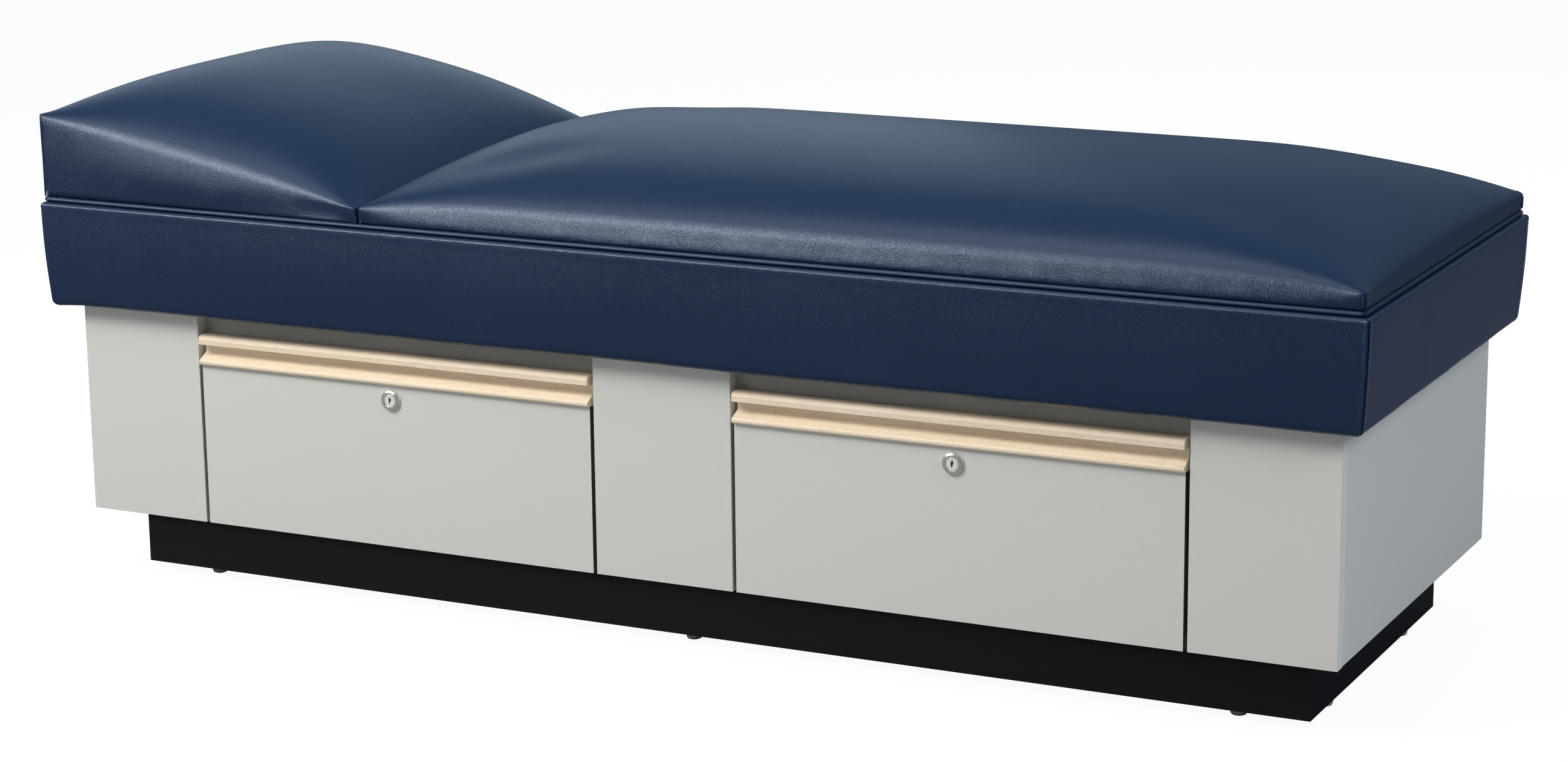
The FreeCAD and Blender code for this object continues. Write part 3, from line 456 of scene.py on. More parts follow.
def tube(path, radii, ring=8):
    """A closed tube along a path; returns its points and faces."""
    path = np.asarray(path, float)
    tangents = np.gradient(path, axis=0)
    tangents /= np.linalg.norm(tangents, axis=1, keepdims=True)
    reference = np.array([0.31, 0.87, 0.05])
    points = []
    for centre, tangent, radius in zip(path, tangents, radii):
        side = np.cross(tangent, reference)
        side /= np.linalg.norm(side)
        other = np.cross(tangent, side)
        for k in range(ring):
            turn = 2 * math.pi * k / ring
            points.append(centre + radius * (side * math.cos(turn) + other * math.sin(turn)))
    return points, tube_faces(len(path), ring)


class Batch:
    """Collects parts, each its points and faces, into one object."""

    def __init__(self):
        self.points, self.faces = [], []

    def add(self, part):
        points, faces = part
        base = len(self.points)
        self.points += [tuple(p) for p in points]
        self.faces += [tuple(i + base for i in face) for face in faces]

    def object(self, name, material):
        obj = make_mesh(name, self.points, self.faces, material)
        fix_normals(obj)
        return obj


# ------------------------------------------------------------------ cushion and pillow shapes
main_lo, main_hi = box_mm("main_cushion_cover")
pillow_lo, pillow_hi = box_mm("pillow_cover")
HALF_WIDTH = float(main_hi[1])
MAIN_EDGE = float(main_lo[2]) + 19.2  # height of the edge line at the sewn corners
MAIN_CROWN = 83.15
PILLOW_HEAD_EDGE, PILLOW_FOOT_EDGE = 638, 547.2
PILLOW_CROWN = 71.9
MAIN_SAG, PILLOW_SAG = 3.0, 8.0  # how far the edge sags between the sewn corners
SIDE_LEAN, SIDE_LEAN_POWER = 3.4, 2.2  # inward lean of the long sides at the base

# In the shape functions q runs from -1 at the head end of the piece to 1 at its foot end,
# and v from -1 at the front to 1 at the back.


def dome(t, inner, outer):
    """1 in the middle and 0 at t = -1 and 1; the two powers set its shape."""
    return np.maximum(0.0, 1.0 - np.abs(t) ** inner) ** outer


def main_sag(q):
    return MAIN_SAG * dome(q, inner=4.0, outer=0.8)


def main_edge(q):
    return MAIN_EDGE - main_sag(q)


def main_crown(q, v):
    along = MAIN_CROWN * dome(q, inner=6.46, outer=0.5523) + main_sag(q)
    return along * dome(v, inner=1.778, outer=0.3595)


def skewed(q):
    return 2 * np.power(np.maximum((q + 1) / 2, 0), 0.9235) - 1


def pillow_sag(q):
    return PILLOW_SAG * dome(skewed(q), inner=2.3, outer=1.0)


def pillow_edge(q):
    slope = (PILLOW_FOOT_EDGE - PILLOW_HEAD_EDGE) * (q + 1) / 2
    return PILLOW_HEAD_EDGE + slope - pillow_sag(q)


def pillow_crown(q, v):
    along = PILLOW_CROWN * dome(skewed(q), inner=2.562, outer=0.7807) + pillow_sag(q)
    return along * dome(v, inner=3.123, outer=0.4495)


def even_stations(count, place, height):
    """Values from -1 to 1, evenly spaced along the curve (place, height)."""
    s = np.linspace(-1, 1, 16001)
    t = np.sign(s) * (1 - (1 - np.abs(s)) ** 4)
    steps = np.hypot(np.diff(place(t)), np.diff(height(t)))
    arc = np.concatenate([[0], np.cumsum(steps)])
    stations = np.interp(np.linspace(0, arc[-1], count), arc, t)
    stations[0], stations[-1] = -1, 1
    return stations


def grid_faces(a, b, c, d):
    """Quads from four matching index arrays, taken in the order given."""
    return np.stack([a, b, c, d], -1).reshape(-1, 4).tolist()


def round_corners(points, x_ends, radii):
    """Rounds the plan corners, with one radius for each end."""
    for sx, x_end, radius in zip((-1, 1), x_ends, radii):
        for sy in (-1, 1):
            centre_x, centre_y = x_end - sx * radius, sy * (HALF_WIDTH - radius)
            dx, dy = (points[:, 0] - centre_x) * sx, (points[:, 1] - centre_y) * sy
            inside = (dx > 0) & (dy > 0)
            dx, dy = dx[inside], dy[inside]
            reach = np.maximum(dx, dy)
            distance = np.hypot(dx, dy) + 1e-9
            points[inside, 0] = centre_x + sx * dx * reach / distance
            points[inside, 1] = centre_y + sy * dy * reach / distance


def cushion(name, x_ends, base, edge, crown, counts, rows, end_leans, corner_radii):
    """A closed crowned cushion: top grid, side rows, flat underside. Returns the object, the
    indices of the top's outline and the index from which the points lie at the base."""
    x0, x1 = x_ends
    nx, ny = counts
    centre_x, half_length = (x0 + x1) / 2, (x1 - x0) / 2
    across = even_stations(ny, lambda t: HALF_WIDTH * t, lambda t: crown(np.zeros_like(t), t))
    along = even_stations(nx, lambda t: half_length * t,
                          lambda t: edge(t) + crown(t, np.zeros_like(t)))
    q, v = np.meshgrid(along, across, indexing="ij")
    x = centre_x + half_length * q
    y = HALF_WIDTH * v
    top = np.stack([x, y, edge(q) + crown(q, v)], -1).reshape(-1, 3)
    grid = np.arange(nx * ny).reshape(nx, ny)
    faces = grid_faces(grid[:-1, :-1], grid[1:, :-1], grid[1:, 1:], grid[:-1, 1:])
    ring = np.concatenate([grid[:, 0], grid[-1, 1:], grid[-2::-1, -1], grid[0, -2:0:-1]])
    count = len(ring)
    outline = top[ring]
    on_front, on_back = outline[:, 1] < -HALF_WIDTH + 1e-6, outline[:, 1] > HALF_WIDTH - 1e-6
    on_head, on_foot = outline[:, 0] < x0 + 1e-6, outline[:, 0] > x1 - 1e-6
    after = np.roll(np.arange(count), -1)

    # the sides, row by row down to the base
    blocks = [top]
    above = ring
    start = len(top)
    for k in range(1, rows + 1):
        f = k / rows
        row = outline.copy()
        row[:, 2] = outline[:, 2] + (base - outline[:, 2]) * f
        lean = SIDE_LEAN * f ** SIDE_LEAN_POWER
        row[on_front, 1] += lean
        row[on_back, 1] -= lean
        row[on_head, 0] += end_leans[0] * f
        row[on_foot, 0] -= end_leans[1] * f
        blocks.append(row)
        current = np.arange(start, start + count)
        faces += grid_faces(above[after], above, current, current[after])
        above = current
        start += count

    # the underside is a plain grid, drawn in slightly, inside the last row
    inner_x, inner_y = x[1:-1, 1:-1].ravel(), y[1:-1, 1:-1].ravel()
    blocks.append(np.stack([inner_x * 0.985 + centre_x * 0.015, inner_y * 0.98,
                            np.full(len(inner_x), base)], 1))
    low = np.full((nx, ny), -1)
    low.flat[ring] = above
    low[1:-1, 1:-1] = start + np.arange(len(inner_x)).reshape(nx - 2, ny - 2)
    faces += grid_faces(low[:-1, :-1], low[:-1, 1:], low[1:, 1:], low[1:, :-1])

    points = np.concatenate(blocks)
    round_corners(points, x_ends, corner_radii)
    return make_mesh(name, points, faces, MATERIALS["vinyl"]), ring, start - count


def soften_edge(obj, ring, reach, rounds):
    """Rounds the edge line between the top and the sides, except at the sewn corners."""
    points = get_points(obj.data)
    outline = points[ring]
    weight = np.zeros(len(points))

    def weigh(near, edge_z):
        gap = np.abs(points[:, 2] - edge_z)
        near = near & (gap < reach)
        weight[near] = np.maximum(weight[near], 1 - gap[near] / reach)

    for side in (-1, 1):
        line = outline[np.abs(outline[:, 1] - side * HALF_WIDTH) < 0.5]
        line = line[np.argsort(line[:, 0])]
        weigh(np.abs(points[:, 1] - side * HALF_WIDTH) < reach,
              np.interp(points[:, 0], line[:, 0], line[:, 2]))
    for x_end in (points[:, 0].min(), points[:, 0].max()):
        line = outline[np.abs(outline[:, 0] - x_end) < 0.5]
        weigh(np.abs(points[:, 0] - x_end) < reach, np.median(line[:, 2]))
        for side in (-1, 1):
            distance = np.hypot(points[:, 0] - x_end, points[:, 1] - side * HALF_WIDTH)
            weight *= np.clip((distance - 6) / 22, 0, 1)
    relax(obj.data, points, 0.5 * weight, rounds)
    set_points(obj.data, points)


# ------------------------------------------------------------------ cloth
FULL_PIN, EDGE_PIN = 1.0, 0.25
PINNED_CORNER = 9.0  # radius held at each plan corner
SHRINK = 3.0  # how much smaller the cover starts
MOVE_CAP = 4.5  # the most a point's movement may count
CLOTH_FRAMES = 20


def pin_weights(obj, ring, base_first):
    """Holds the base and the sewn corners, and lightly the edge line."""
    points = get_points(obj.data)
    weights = np.zeros(len(points))
    weights[base_first:] = FULL_PIN
    for x_end in (points[:, 0].min(), points[:, 0].max()):
        for side in (-1, 1):
            distance = np.hypot(points[:, 0] - x_end, points[:, 1] - side * HALF_WIDTH)
            weights[distance < PINNED_CORNER] = FULL_PIN
    weights[ring] = np.maximum(weights[ring], EDGE_PIN)
    return weights


def simulate(obj, pinned):
    """Inflates a cushion as cloth from a slightly smaller start and keeps the movement,
    up to a cap."""
    mesh = obj.data
    rest = get_points(mesh)
    start = rest - read_vectors(mesh, "normal") * SHRINK * (1 - pinned)[:, None]
    set_points(mesh, start)
    group = obj.vertex_groups.new(name="pin")
    for weight in (FULL_PIN, EDGE_PIN):
        group.add(np.nonzero(np.isclose(pinned, weight))[0].tolist(), weight, "REPLACE")
    cloth = obj.modifiers.new("cloth", "CLOTH")
    settings = cloth.settings
    settings.quality = 4
    settings.mass = 0.4
    settings.air_damping = 4
    settings.tension_stiffness = settings.compression_stiffness = 30
    settings.shear_stiffness = 12
    settings.bending_stiffness = 12
    settings.tension_damping = settings.compression_damping = settings.shear_damping = 12
    settings.use_pressure = True
    settings.uniform_pressure_force = 4.0
    settings.vertex_group_mass = "pin"
    settings.pin_stiffness = 1.0
    settings.effector_weights.gravity = 0
    cloth.collision_settings.use_collision = False
    cloth.collision_settings.use_self_collision = False
    cloth.point_cache.frame_start, cloth.point_cache.frame_end = 1, CLOTH_FRAMES
    for f in range(1, CLOTH_FRAMES + 1):
        scene.frame_set(f)
    depsgraph = bpy.context.evaluated_depsgraph_get()
    inflated = get_points(obj.evaluated_get(depsgraph).data)
    obj.modifiers.clear()
    move = inflated - start
    distance = np.linalg.norm(move, axis=1)
    kept = np.minimum(1.0, MOVE_CAP / np.maximum(distance, 1e-9))
    # the cover is taut, so the change of shape is evened out over its neighbours
    move = start + move * kept[:, None] - rest
    relax(mesh, move, 0.6 * (1 - pinned), rounds=40)
    set_points(mesh, rest + move)
    scene.frame_set(1)


def pucker(obj, seed):
    """Small gathers just above the base of the cover, fading up the side."""
    points = get_points(obj.data)
    above = points[:, 2] - points[:, 2].min()
    fade = np.clip(1 - above / 34.0, 0, 1) * np.clip(above / 4.0, 0, 1)
    gather = np.zeros(len(points))
    rng = np.random.default_rng(seed)
    for wavelength, amplitude in ((34, 0.16), (71, 0.25), (160, 0.3)):
        phase = rng.uniform(0, 6.28)
        gather += amplitude * np.sin((points[:, 0] + 1.7 * points[:, 1]) / wavelength * 6.283
                                     + phase + 1.3 * np.sin(points[:, 0] / 97.0))
    points += read_vectors(obj.data, "normal") * (gather * fade)[:, None]
    set_points(obj.data, points)


MAIN_ENDS = (float(main_lo[0]), float(main_hi[0]))
PILLOW_ENDS = (float(pillow_lo[0]), float(pillow_hi[0]))
main_obj, main_ring, main_base = cushion(
    "main_cushion", MAIN_ENDS, float(main_lo[2]), main_edge, main_crown,
    counts=(156, 86), rows=5, end_leans=(0.0, 2.0), corner_radii=(7.0, 6.0))
pillow_obj, pillow_ring, pillow_base = cushion(
    "head_pillow", PILLOW_ENDS, float(pillow_lo[2]), pillow_edge, pillow_crown,
    counts=(70, 86), rows=12, end_leans=(1.6, 0.0), corner_radii=(6.0, 7.0))
soften_edge(main_obj, main_ring, reach=15.0, rounds=7)
soften_edge(pillow_obj, pillow_ring, reach=10.0, rounds=4)
simulate(main_obj, pin_weights(main_obj, main_ring, main_base))
simulate(pillow_obj, pin_weights(pillow_obj, pillow_ring, pillow_base))
pucker(main_obj, seed=3)
pucker(pillow_obj, seed=4)


# ------------------------------------------------------------------ cushion corner seams
def corner_seams(obj, x_end, z0, z1, shift, beads, seam_shade_lines):
    """Two beads of cover and, between them, a near-black stitched line that also paints the
    shadow in the seam's groove, up both plan corners of one end. shift moves the seam round
    the corner."""
    points = get_points(obj.data)
    sx = 1 if x_end > 0.5 * (points[:, 0].min() + points[:, 0].max()) else -1
    corner_across = (abs(x_end) - HALF_WIDTH) / math.sqrt(2)
    levels = np.linspace(z0, z1, max(7, int((z1 - z0) / 3.5)))
    height = (levels - z0) / (z1 - z0)
    taper = np.where((height < 0.02) | (height > 0.98), 0.55, 1.0)
    roll = np.clip((levels - (z1 - 3.0)) / 3.0, 0, 1) ** 2 * 2.2
    drop = 0.5 * shift * shift / 7.0
    for sy in (-1, 1):
        outward = np.array([sx, sy]) / math.sqrt(2)
        across = np.array([sx, -sy]) / math.sqrt(2)
        near = points[np.hypot(points[:, 0] - x_end, points[:, 1] - sy * HALF_WIDTH) < 14]
        # how far out the cover reaches at each level
        apex = []
        for z in levels:
            pick = near[np.abs(near[:, 2] - z) < 4.5]
            out = pick[:, 0] * outward[0] + pick[:, 1] * outward[1]
            apex.append(out.max() if len(out) else np.nan)
        apex = np.array(apex)
        good = ~np.isnan(apex)
        apex = np.interp(levels, levels[good], apex[good])
        apex[1:-1] = (apex[:-2] + apex[1:-1] + apex[2:]) / 3
        # offset across the corner, radius, how deep the centre lies, where it goes
        for offset, radius, sink, batch in ((shift - 1.5, 1.55, 1.1, beads),
                                            (shift + 1.5, 1.4, 1.15, beads),
                                            (shift, 0.75, 0.15, seam_shade_lines)):
            out = apex - drop - roll - sink
            side = corner_across + offset
            path = np.stack([outward[0] * out + across[0] * side,
                             outward[1] * out + across[1] * side, levels], 1)
            batch.add(tube(path, radius * taper))


beads, seam_shade_lines = Batch(), Batch()
SEAM_RISE = 1.7  # the seams start this far above the base
corner_seams(main_obj, MAIN_ENDS[1], float(main_lo[2]) + SEAM_RISE, MAIN_EDGE - 0.8,
             shift=0.6, beads=beads, seam_shade_lines=seam_shade_lines)
corner_seams(pillow_obj, PILLOW_ENDS[0], float(pillow_lo[2]) + SEAM_RISE,
             PILLOW_HEAD_EDGE - 1.0, shift=3.0, beads=beads, seam_shade_lines=seam_shade_lines)
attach(main_obj, "cabinet")
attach(pillow_obj, "cabinet")
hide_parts("main_cushion_cover", "main_cushion_foam")
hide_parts("pillow_cover", "pillow_foam")

# ------------------------------------------------------------------ skirt
apron_lo, apron_hi = box_mm("apron_cover")
HALF_X, HALF_Y = 914.4, 342.9  # outline at the top of the skirt
Z_TOP, Z_BOTTOM = float(apron_hi[2]), float(apron_lo[2])
TAPER = 8.0  # how far the foot of the face stands in from its top
BELLY = 1.5
SKIRT_CORNER = 4.2
COVER_THICKNESS = 1.3
TOP_ROLL, BOTTOM_ROLL = 4.4, 9.5
SEAM_AT = 2.3  # the corner seams sit just round the corner, on the end faces
END_SIDES = (1, 3)

# (amplitude, spacing, seed) of the waves in the face and along the bottom
FACE_WAVES = ((0.5, 9, 1), (0.35, 4, 2), (0.8, 28, 3))
BOTTOM_WAVES = ((0.8, 7, 5), (0.5, 3, 6), (1.0, 20, 7))
# (depth, place from the seam, width) of the seam's groove and the swellings beside it
SEAM_RELIEF = ((2.3, 0.0, 1.05), (-0.9, -4.2, 2.6), (-0.45, 3.6, 2.4))


def side_length(side):
    return 2 * HALF_Y if side in END_SIDES else 2 * HALF_X


def perimeter(step=11.0, fine=0.55, run=14.0):
    """Places round the outline as (side, along): sides 0 front, 1 foot end, 2 back,
    3 head end. Dense near the corners, where the seams are."""
    places = []
    for side in range(4):
        length = side_length(side)
        near = np.arange(0, run, fine)
        middle = np.linspace(run, length - run, int((length - 2 * run) / step))
        far = length - near[::-1]
        places += [(side, along) for along in np.concatenate([near, middle, far])[:-1]]
    return places


def skirt_point(side, along, depth):
    """Plan position at a depth in from the outline, with rounded corners."""
    half_x, half_y = HALF_X - depth, HALF_Y - depth
    length = side_length(side)
    half, other = (half_y, half_x) if side in END_SIDES else (half_x, half_y)
    # keep the distance from a corner the same at every depth, so seams stay upright
    from_corner = min(along if along < length / 2 else length - along, half)
    sign = -1 if along < length / 2 else 1
    x, y = sign * (half - from_corner), -other
    centre_x, centre_y = sign * (half - SKIRT_CORNER), -(other - SKIRT_CORNER)
    dx, dy = (x - centre_x) * sign, -(y - centre_y)
    if dx > 0 and dy > 0:
        reach, distance = max(dx, dy), math.hypot(dx, dy) + 1e-9
        x = centre_x + sign * dx * reach / distance
        y = centre_y - dy * reach / distance
    return ((x, y), (-y, x), (-x, -y), (y, -x))[side]


def skirt_fall(z):
    """0 at the top of the skirt, 1 at the bottom."""
    return (Z_TOP - z) / (Z_TOP - Z_BOTTOM)


def face_depth(z):
    fall = skirt_fall(z)
    return TAPER * fall - BELLY * math.sin(math.pi * min(1, max(0, fall))) + 0.2


def skirt_profile():
    """(depth, z) from the inner top edge, over the roll, down the face, round the bottom
    roll and in. Then back along the inside, one cover thickness behind."""
    points = [(24, Z_TOP - 1.2), (16, Z_TOP - 0.5), (10.5, Z_TOP - 0.2), (7.0, Z_TOP)]
    for angle in np.radians(np.linspace(10, 90, 7)):
        points.append((TOP_ROLL - TOP_ROLL * math.sin(angle),
                       Z_TOP - TOP_ROLL + TOP_ROLL * math.cos(angle)))
    roll_z = Z_BOTTOM + 10.0
    for z in np.linspace(Z_TOP - 9, roll_z + 3, 15):
        points.append((face_depth(z), z))
    for angle in np.radians(np.linspace(8, 90, 8)):
        points.append((TAPER * skirt_fall(roll_z) + BOTTOM_ROLL
                       - BOTTOM_ROLL * math.cos(angle),
                       roll_z - BOTTOM_ROLL * math.sin(angle)))
    points += [(TAPER + 13.0, Z_BOTTOM + 0.4), (26.0, Z_BOTTOM + 0.5), (30.6, Z_BOTTOM + 0.6)]
    outer = np.array(points)
    tangent = np.gradient(outer, axis=0)
    tangent /= np.linalg.norm(tangent, axis=1, keepdims=True)
    inner = outer + np.stack([-tangent[:, 1], tangent[:, 0]], 1) * COVER_THICKNESS
    return np.concatenate([outer, inner[::-1]])


def build_skirt():
    places, profile = perimeter(), skirt_profile()
    n, m = len(places), len(profile)
    points = np.zeros((n, m, 3))
    face_waves = summed_noise(n, FACE_WAVES)
    bottom_waves = summed_noise(n, BOTTOM_WAVES)
    for i, (side, along) in enumerate(places):
        from_corner = min(along, side_length(side) - along)
        fade = min(1.0, max(0.0, (from_corner - 14) / 50))
        from_seam = from_corner * (1 if side in END_SIDES else -1) - SEAM_AT
        for j, (depth, level) in enumerate(profile):
            step = min(j, m - 1 - j)  # place in the profile, the same outside and inside
            fall = np.clip(skirt_fall(level), 0, 1)
            z = level
            depth = depth - 0.55 * face_waves[i] * math.sin(math.pi * fall) * fade
            if fall > 0.85:
                z = level + 0.6 * bottom_waves[i] * fade * (fall - 0.85) / 0.15
            if fall < 0.08 and 3 < step < 12:
                z = level + 0.22 * face_waves[i] * fade
            if step >= 3:
                for relief, place, width in SEAM_RELIEF:
                    depth += relief * math.exp(-(((from_seam - place) / width) ** 2))
            points[i, j] = (*skirt_point(side, along, depth), z)
    grid = np.arange(n * m).reshape(n, m)
    onward = np.roll(grid, -1, axis=0)
    faces = grid_faces(grid, np.roll(grid, -1, axis=1), np.roll(onward, -1, axis=1), onward)
    return make_mesh("skirt_cover", points.reshape(-1, 3), faces, MATERIALS["vinyl"])


skirt = build_skirt()
# points that meet at the corners become one, so no face is left without area
edit_mesh(skirt, lambda bm: bmesh.ops.remove_doubles(bm, verts=bm.verts, dist=2e-6))
fix_normals(skirt)
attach(skirt, "cabinet")
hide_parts("apron_cover", "apron_padding")

# ------------------------------------------------------------------ welt
welt_lo, welt_hi = box_mm("welt_cord")
WELT_BEND = 4.0
WELT_RING = 18
SPLICE_Y = 31.0  # where the cord's cover is joined, on the foot end
SPLICE_SLANT = 2.2
HEAD_SHIFT = 4.6  # how far the cord moves outwards at the head end


def welt_path(half_x, half_y):
    """Plan points of the cord's centre line and the outward direction at each."""
    points, normals = [], []
    bend_x, bend_y = half_x - WELT_BEND, half_y - WELT_BEND

    def run(start, end, count, normal):
        for f in np.linspace(0, 1, count, endpoint=False):
            points.append(np.array(start) + (np.array(end) - np.array(start)) * f)
            normals.append(normal)

    def bend(centre_x, centre_y, first_angle):
        for angle in np.linspace(first_angle, first_angle + 90, 14, endpoint=False):
            c, s = math.cos(math.radians(angle)), math.sin(math.radians(angle))
            points.append(np.array((centre_x + WELT_BEND * c, centre_y + WELT_BEND * s)))
            normals.append((c, s))

    run((-bend_x, -half_y), (bend_x, -half_y), 230, (0, -1))
    bend(bend_x, -bend_y, -90)
    run((half_x, -bend_y), (half_x, bend_y), 420, (1, 0))
    bend(bend_x, bend_y, 0)
    run((bend_x, half_y), (-bend_x, half_y), 230, (0, 1))
    bend(-bend_x, bend_y, 90)
    run((-half_x, bend_y), (-half_x, -bend_y), 90, (-1, 0))
    bend(-bend_x, -bend_y, 180)
    return np.array(points), np.array(normals, float)


def build_welt():
    radius = (welt_hi[2] - welt_lo[2]) / 2
    centre_z = (welt_hi[2] + welt_lo[2]) / 2
    path, normals = welt_path(welt_hi[0] - radius, welt_hi[1] - radius)
    n, m = len(path), WELT_RING
    wobble = summed_noise(n, ((0.14, 9, 21), (0.1, 3, 22)))
    points = np.zeros((n, m, 3))
    for i, (place, normal) in enumerate(zip(path, normals)):
        from_splice = place[1] - SPLICE_Y if normal[0] > 0.99 else 99.0
        head_shift = HEAD_SHIFT * min(1.0, max(0.0, (-place[0] - 820) / 80))
        for j, angle in enumerate(np.linspace(0, 2 * math.pi, m, endpoint=False)):
            # a slanted lap: the cover thickens towards the join, then ends in a small groove
            skew = min(40.0, max(-40.0, from_splice + SPLICE_SLANT * math.sin(angle)))
            lift = 0.42 / (1 + math.exp(-(skew + 7) / 0.5)) / (1 + math.exp(skew / 0.22))
            groove = 0.15 * math.exp(-((skew - 0.4) / 0.5) ** 2)
            r = radius + wobble[i] * 0.5 + lift - groove
            points[i, j, :2] = place + normal * math.cos(angle) * r
            points[i, j, 0] -= head_shift
            points[i, j, 2] = centre_z + math.sin(angle) * r * 0.97
    grid = np.arange(n * m).reshape(n, m)
    onward = np.roll(grid, -1, 0)
    faces = grid_faces(grid, onward, np.roll(onward, -1, 1), np.roll(grid, -1, 1))
    return make_mesh("welt", points.reshape(-1, 3), faces, MATERIALS["welt"])


welt = build_welt()
fix_normals(welt)
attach(welt, "cabinet")
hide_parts("welt_cord")

# ------------------------------------------------------------------ skirt stitching and seams
STITCH_RADIUS, STITCH_LENGTH, STITCH_PITCH = 0.62, 2.7, 4.1
STITCH_ROW = 10.5  # distance of the row from the corner
STITCH_STATIONS, STITCH_RING = 7, 6
SKIRT_CORNERS = [(side, at_end) for side in END_SIDES for at_end in (False, True)]


def seam_point(side, at_end, from_corner, depth, z):
    """A point on an end face, at a distance from one of its corners and a depth below
    the cover."""
    along = 2 * HALF_Y - from_corner if at_end else from_corner
    return (*skirt_point(side, along, face_depth(z) + depth), z)


def stitch(side, at_end, top_z):
    out = 1 if side == 1 else -1
    points = []
    for k in range(STITCH_STATIONS):
        g = k / (STITCH_STATIONS - 1)
        swell = math.sin(math.pi * g)
        x, y, z = seam_point(side, at_end, STITCH_ROW + 0.12 * (2 * g - 1),
                             0.1 - 0.32 * swell, top_z - STITCH_LENGTH * g)
        radius = STITCH_RADIUS * (0.55 + 0.45 * swell)
        for q in range(STITCH_RING):
            turn = 2 * math.pi * q / STITCH_RING
            points.append((x + out * radius * math.cos(turn), y + radius * math.sin(turn), z))
    return points, tube_faces(STITCH_STATIONS, STITCH_RING)


def stitch_rows():
    batch = Batch()
    for side, at_end in SKIRT_CORNERS:
        z = Z_TOP - 7.0
        while z > Z_BOTTOM + 13:
            batch.add(stitch(side, at_end, z))
            z -= STITCH_PITCH
    return batch.object("skirt_stitching", MATERIALS["thread"])


def skirt_seam(side, at_end):
    """The near-black stitched line in a corner seam, which also paints the shadow in its
    groove, with three short ties near its top.
    """
    levels = np.linspace(Z_TOP - 4.5, Z_BOTTOM + 9.5, 40)
    seam_shade_lines.add(tube([seam_point(side, at_end, SEAM_AT, 1.5, z) for z in levels],
                   np.full(len(levels), 0.85)))
    for below_top, lean in ((6.5, 0.8), (11.5, -0.6), (16.0, 0.5)):
        path = [seam_point(side, at_end, SEAM_AT - 3.4 + 5.2 * g,
                           0.1 - 0.35 * math.sin(math.pi * g),
                           Z_TOP - below_top + lean * (g - 0.5))
                for g in np.linspace(0, 1, 7)]
        beads.add(tube(path, [0.25, 0.4, 0.45, 0.45, 0.45, 0.4, 0.25]))


def head_flare(obj):
    """The skirt stands a little more upright at the head end than along the front, and its
    bottom hangs slightly lower at the head corners."""
    points = get_points(obj.data)
    fall = np.clip(skirt_fall(points[:, 2]), 0, 1)
    near = (np.clip((-points[:, 0] - 862) / 45, 0, 1)
            * np.clip((np.abs(points[:, 1]) - 250) / 80, 0, 1))
    points[:, 2] -= 3.6 * near * np.clip((fall - 0.55) / 0.45, 0, 1) ** 2
    points[:, 0] -= 3.2 * fall * np.clip((-points[:, 0] - 650) / 250, 0, 1)
    set_points(obj.data, points)


stitches = stitch_rows()
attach(stitches, "cabinet")
for side, at_end in SKIRT_CORNERS:
    skirt_seam(side, at_end)
bead_obj = beads.object("corner_seam_beads", MATERIALS["vinyl"])
# near-black line in the seams: painted shadow of the seam grooves, also standing for the
# stitching
seam_shade_obj = seam_shade_lines.object("corner_seam_thread", MATERIALS["seam"])
for obj in (skirt, stitches, bead_obj, seam_shade_obj):
    head_flare(obj)
for obj in (bead_obj, seam_shade_obj):
    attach(obj, "cabinet")

# ------------------------------------------------------------------ lock faces
KEYWAY_HALF_HEIGHT = 3.9
KEYWAY_HALF_WIDTH, KEYWAY_EYE = 0.95, 1.15  # the tail, and what the round eye adds to it
JOINT_INNER, JOINT_OUTER = 0.1, 1.5  # the joint's radii beyond the plug's


def plate(centre, outline, y0, y1, hole=()):
    """A flat plate facing the front, with an optional hole of as many points as its
    outline."""
    n = len(outline)
    points = [(centre[0] + a, y, centre[1] + b)
              for loop in (outline, hole) for y in (y0, y1) for a, b in loop]
    pairs = [(k, (k + 1) % n) for k in range(n)]
    faces = [(k, after, n + after, n + k) for k, after in pairs]
    if not hole:
        return points, faces + [tuple(range(n))[::-1], tuple(range(n, 2 * n))]
    faces += [(2 * n + k, 3 * n + k, 3 * n + after, 2 * n + after) for k, after in pairs]
    faces += [(k, 2 * n + k, 2 * n + after, after) for k, after in pairs]
    faces += [(n + k, n + after, 3 * n + after, 3 * n + k) for k, after in pairs]
    return points, faces


def circle(radius, count=48):
    turns = [2 * math.pi * k / count for k in range(count)]
    return [(radius * math.cos(t), radius * math.sin(t)) for t in turns]


def keyway_outline():
    """A round eye with a tail, like a wafer lock's keyway."""
    outline = []
    for a, b in circle(radius=1, count=40):
        eye = math.exp(-((b * KEYWAY_HALF_HEIGHT - 1.2) / 1.25) ** 2)
        outline.append(((KEYWAY_HALF_WIDTH + KEYWAY_EYE * eye) * a, KEYWAY_HALF_HEIGHT * b))
    return outline


def lock_part(name, part, carrier):
    batch = Batch()
    batch.add(part)
    obj = batch.object(name, MATERIALS["key"])
    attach(obj, carrier)


for hand in ("left", "right"):
    plug_lo, plug_hi = box_mm(hand + "_lock_plug")
    centre = ((plug_lo[0] + plug_hi[0]) / 2, (plug_lo[2] + plug_hi[2]) / 2)
    radius = (plug_hi[0] - plug_lo[0]) / 2
    y = plug_lo[1]
    # flat black plates paint the shade in the keyway slot and in the gap round the plug
    lock_part(hand + "_keyway_painted_shade", plate(centre, keyway_outline(), y - 0.16, y + 0.5),
              hand + "_lock_barrel")
    lock_part(hand + "_lock_joint_painted_shade",
              plate(centre, circle(radius + JOINT_OUTER), y + 0.1, y + 0.7,
                    hole=circle(radius + JOINT_INNER)),
              hand + "_drawer")


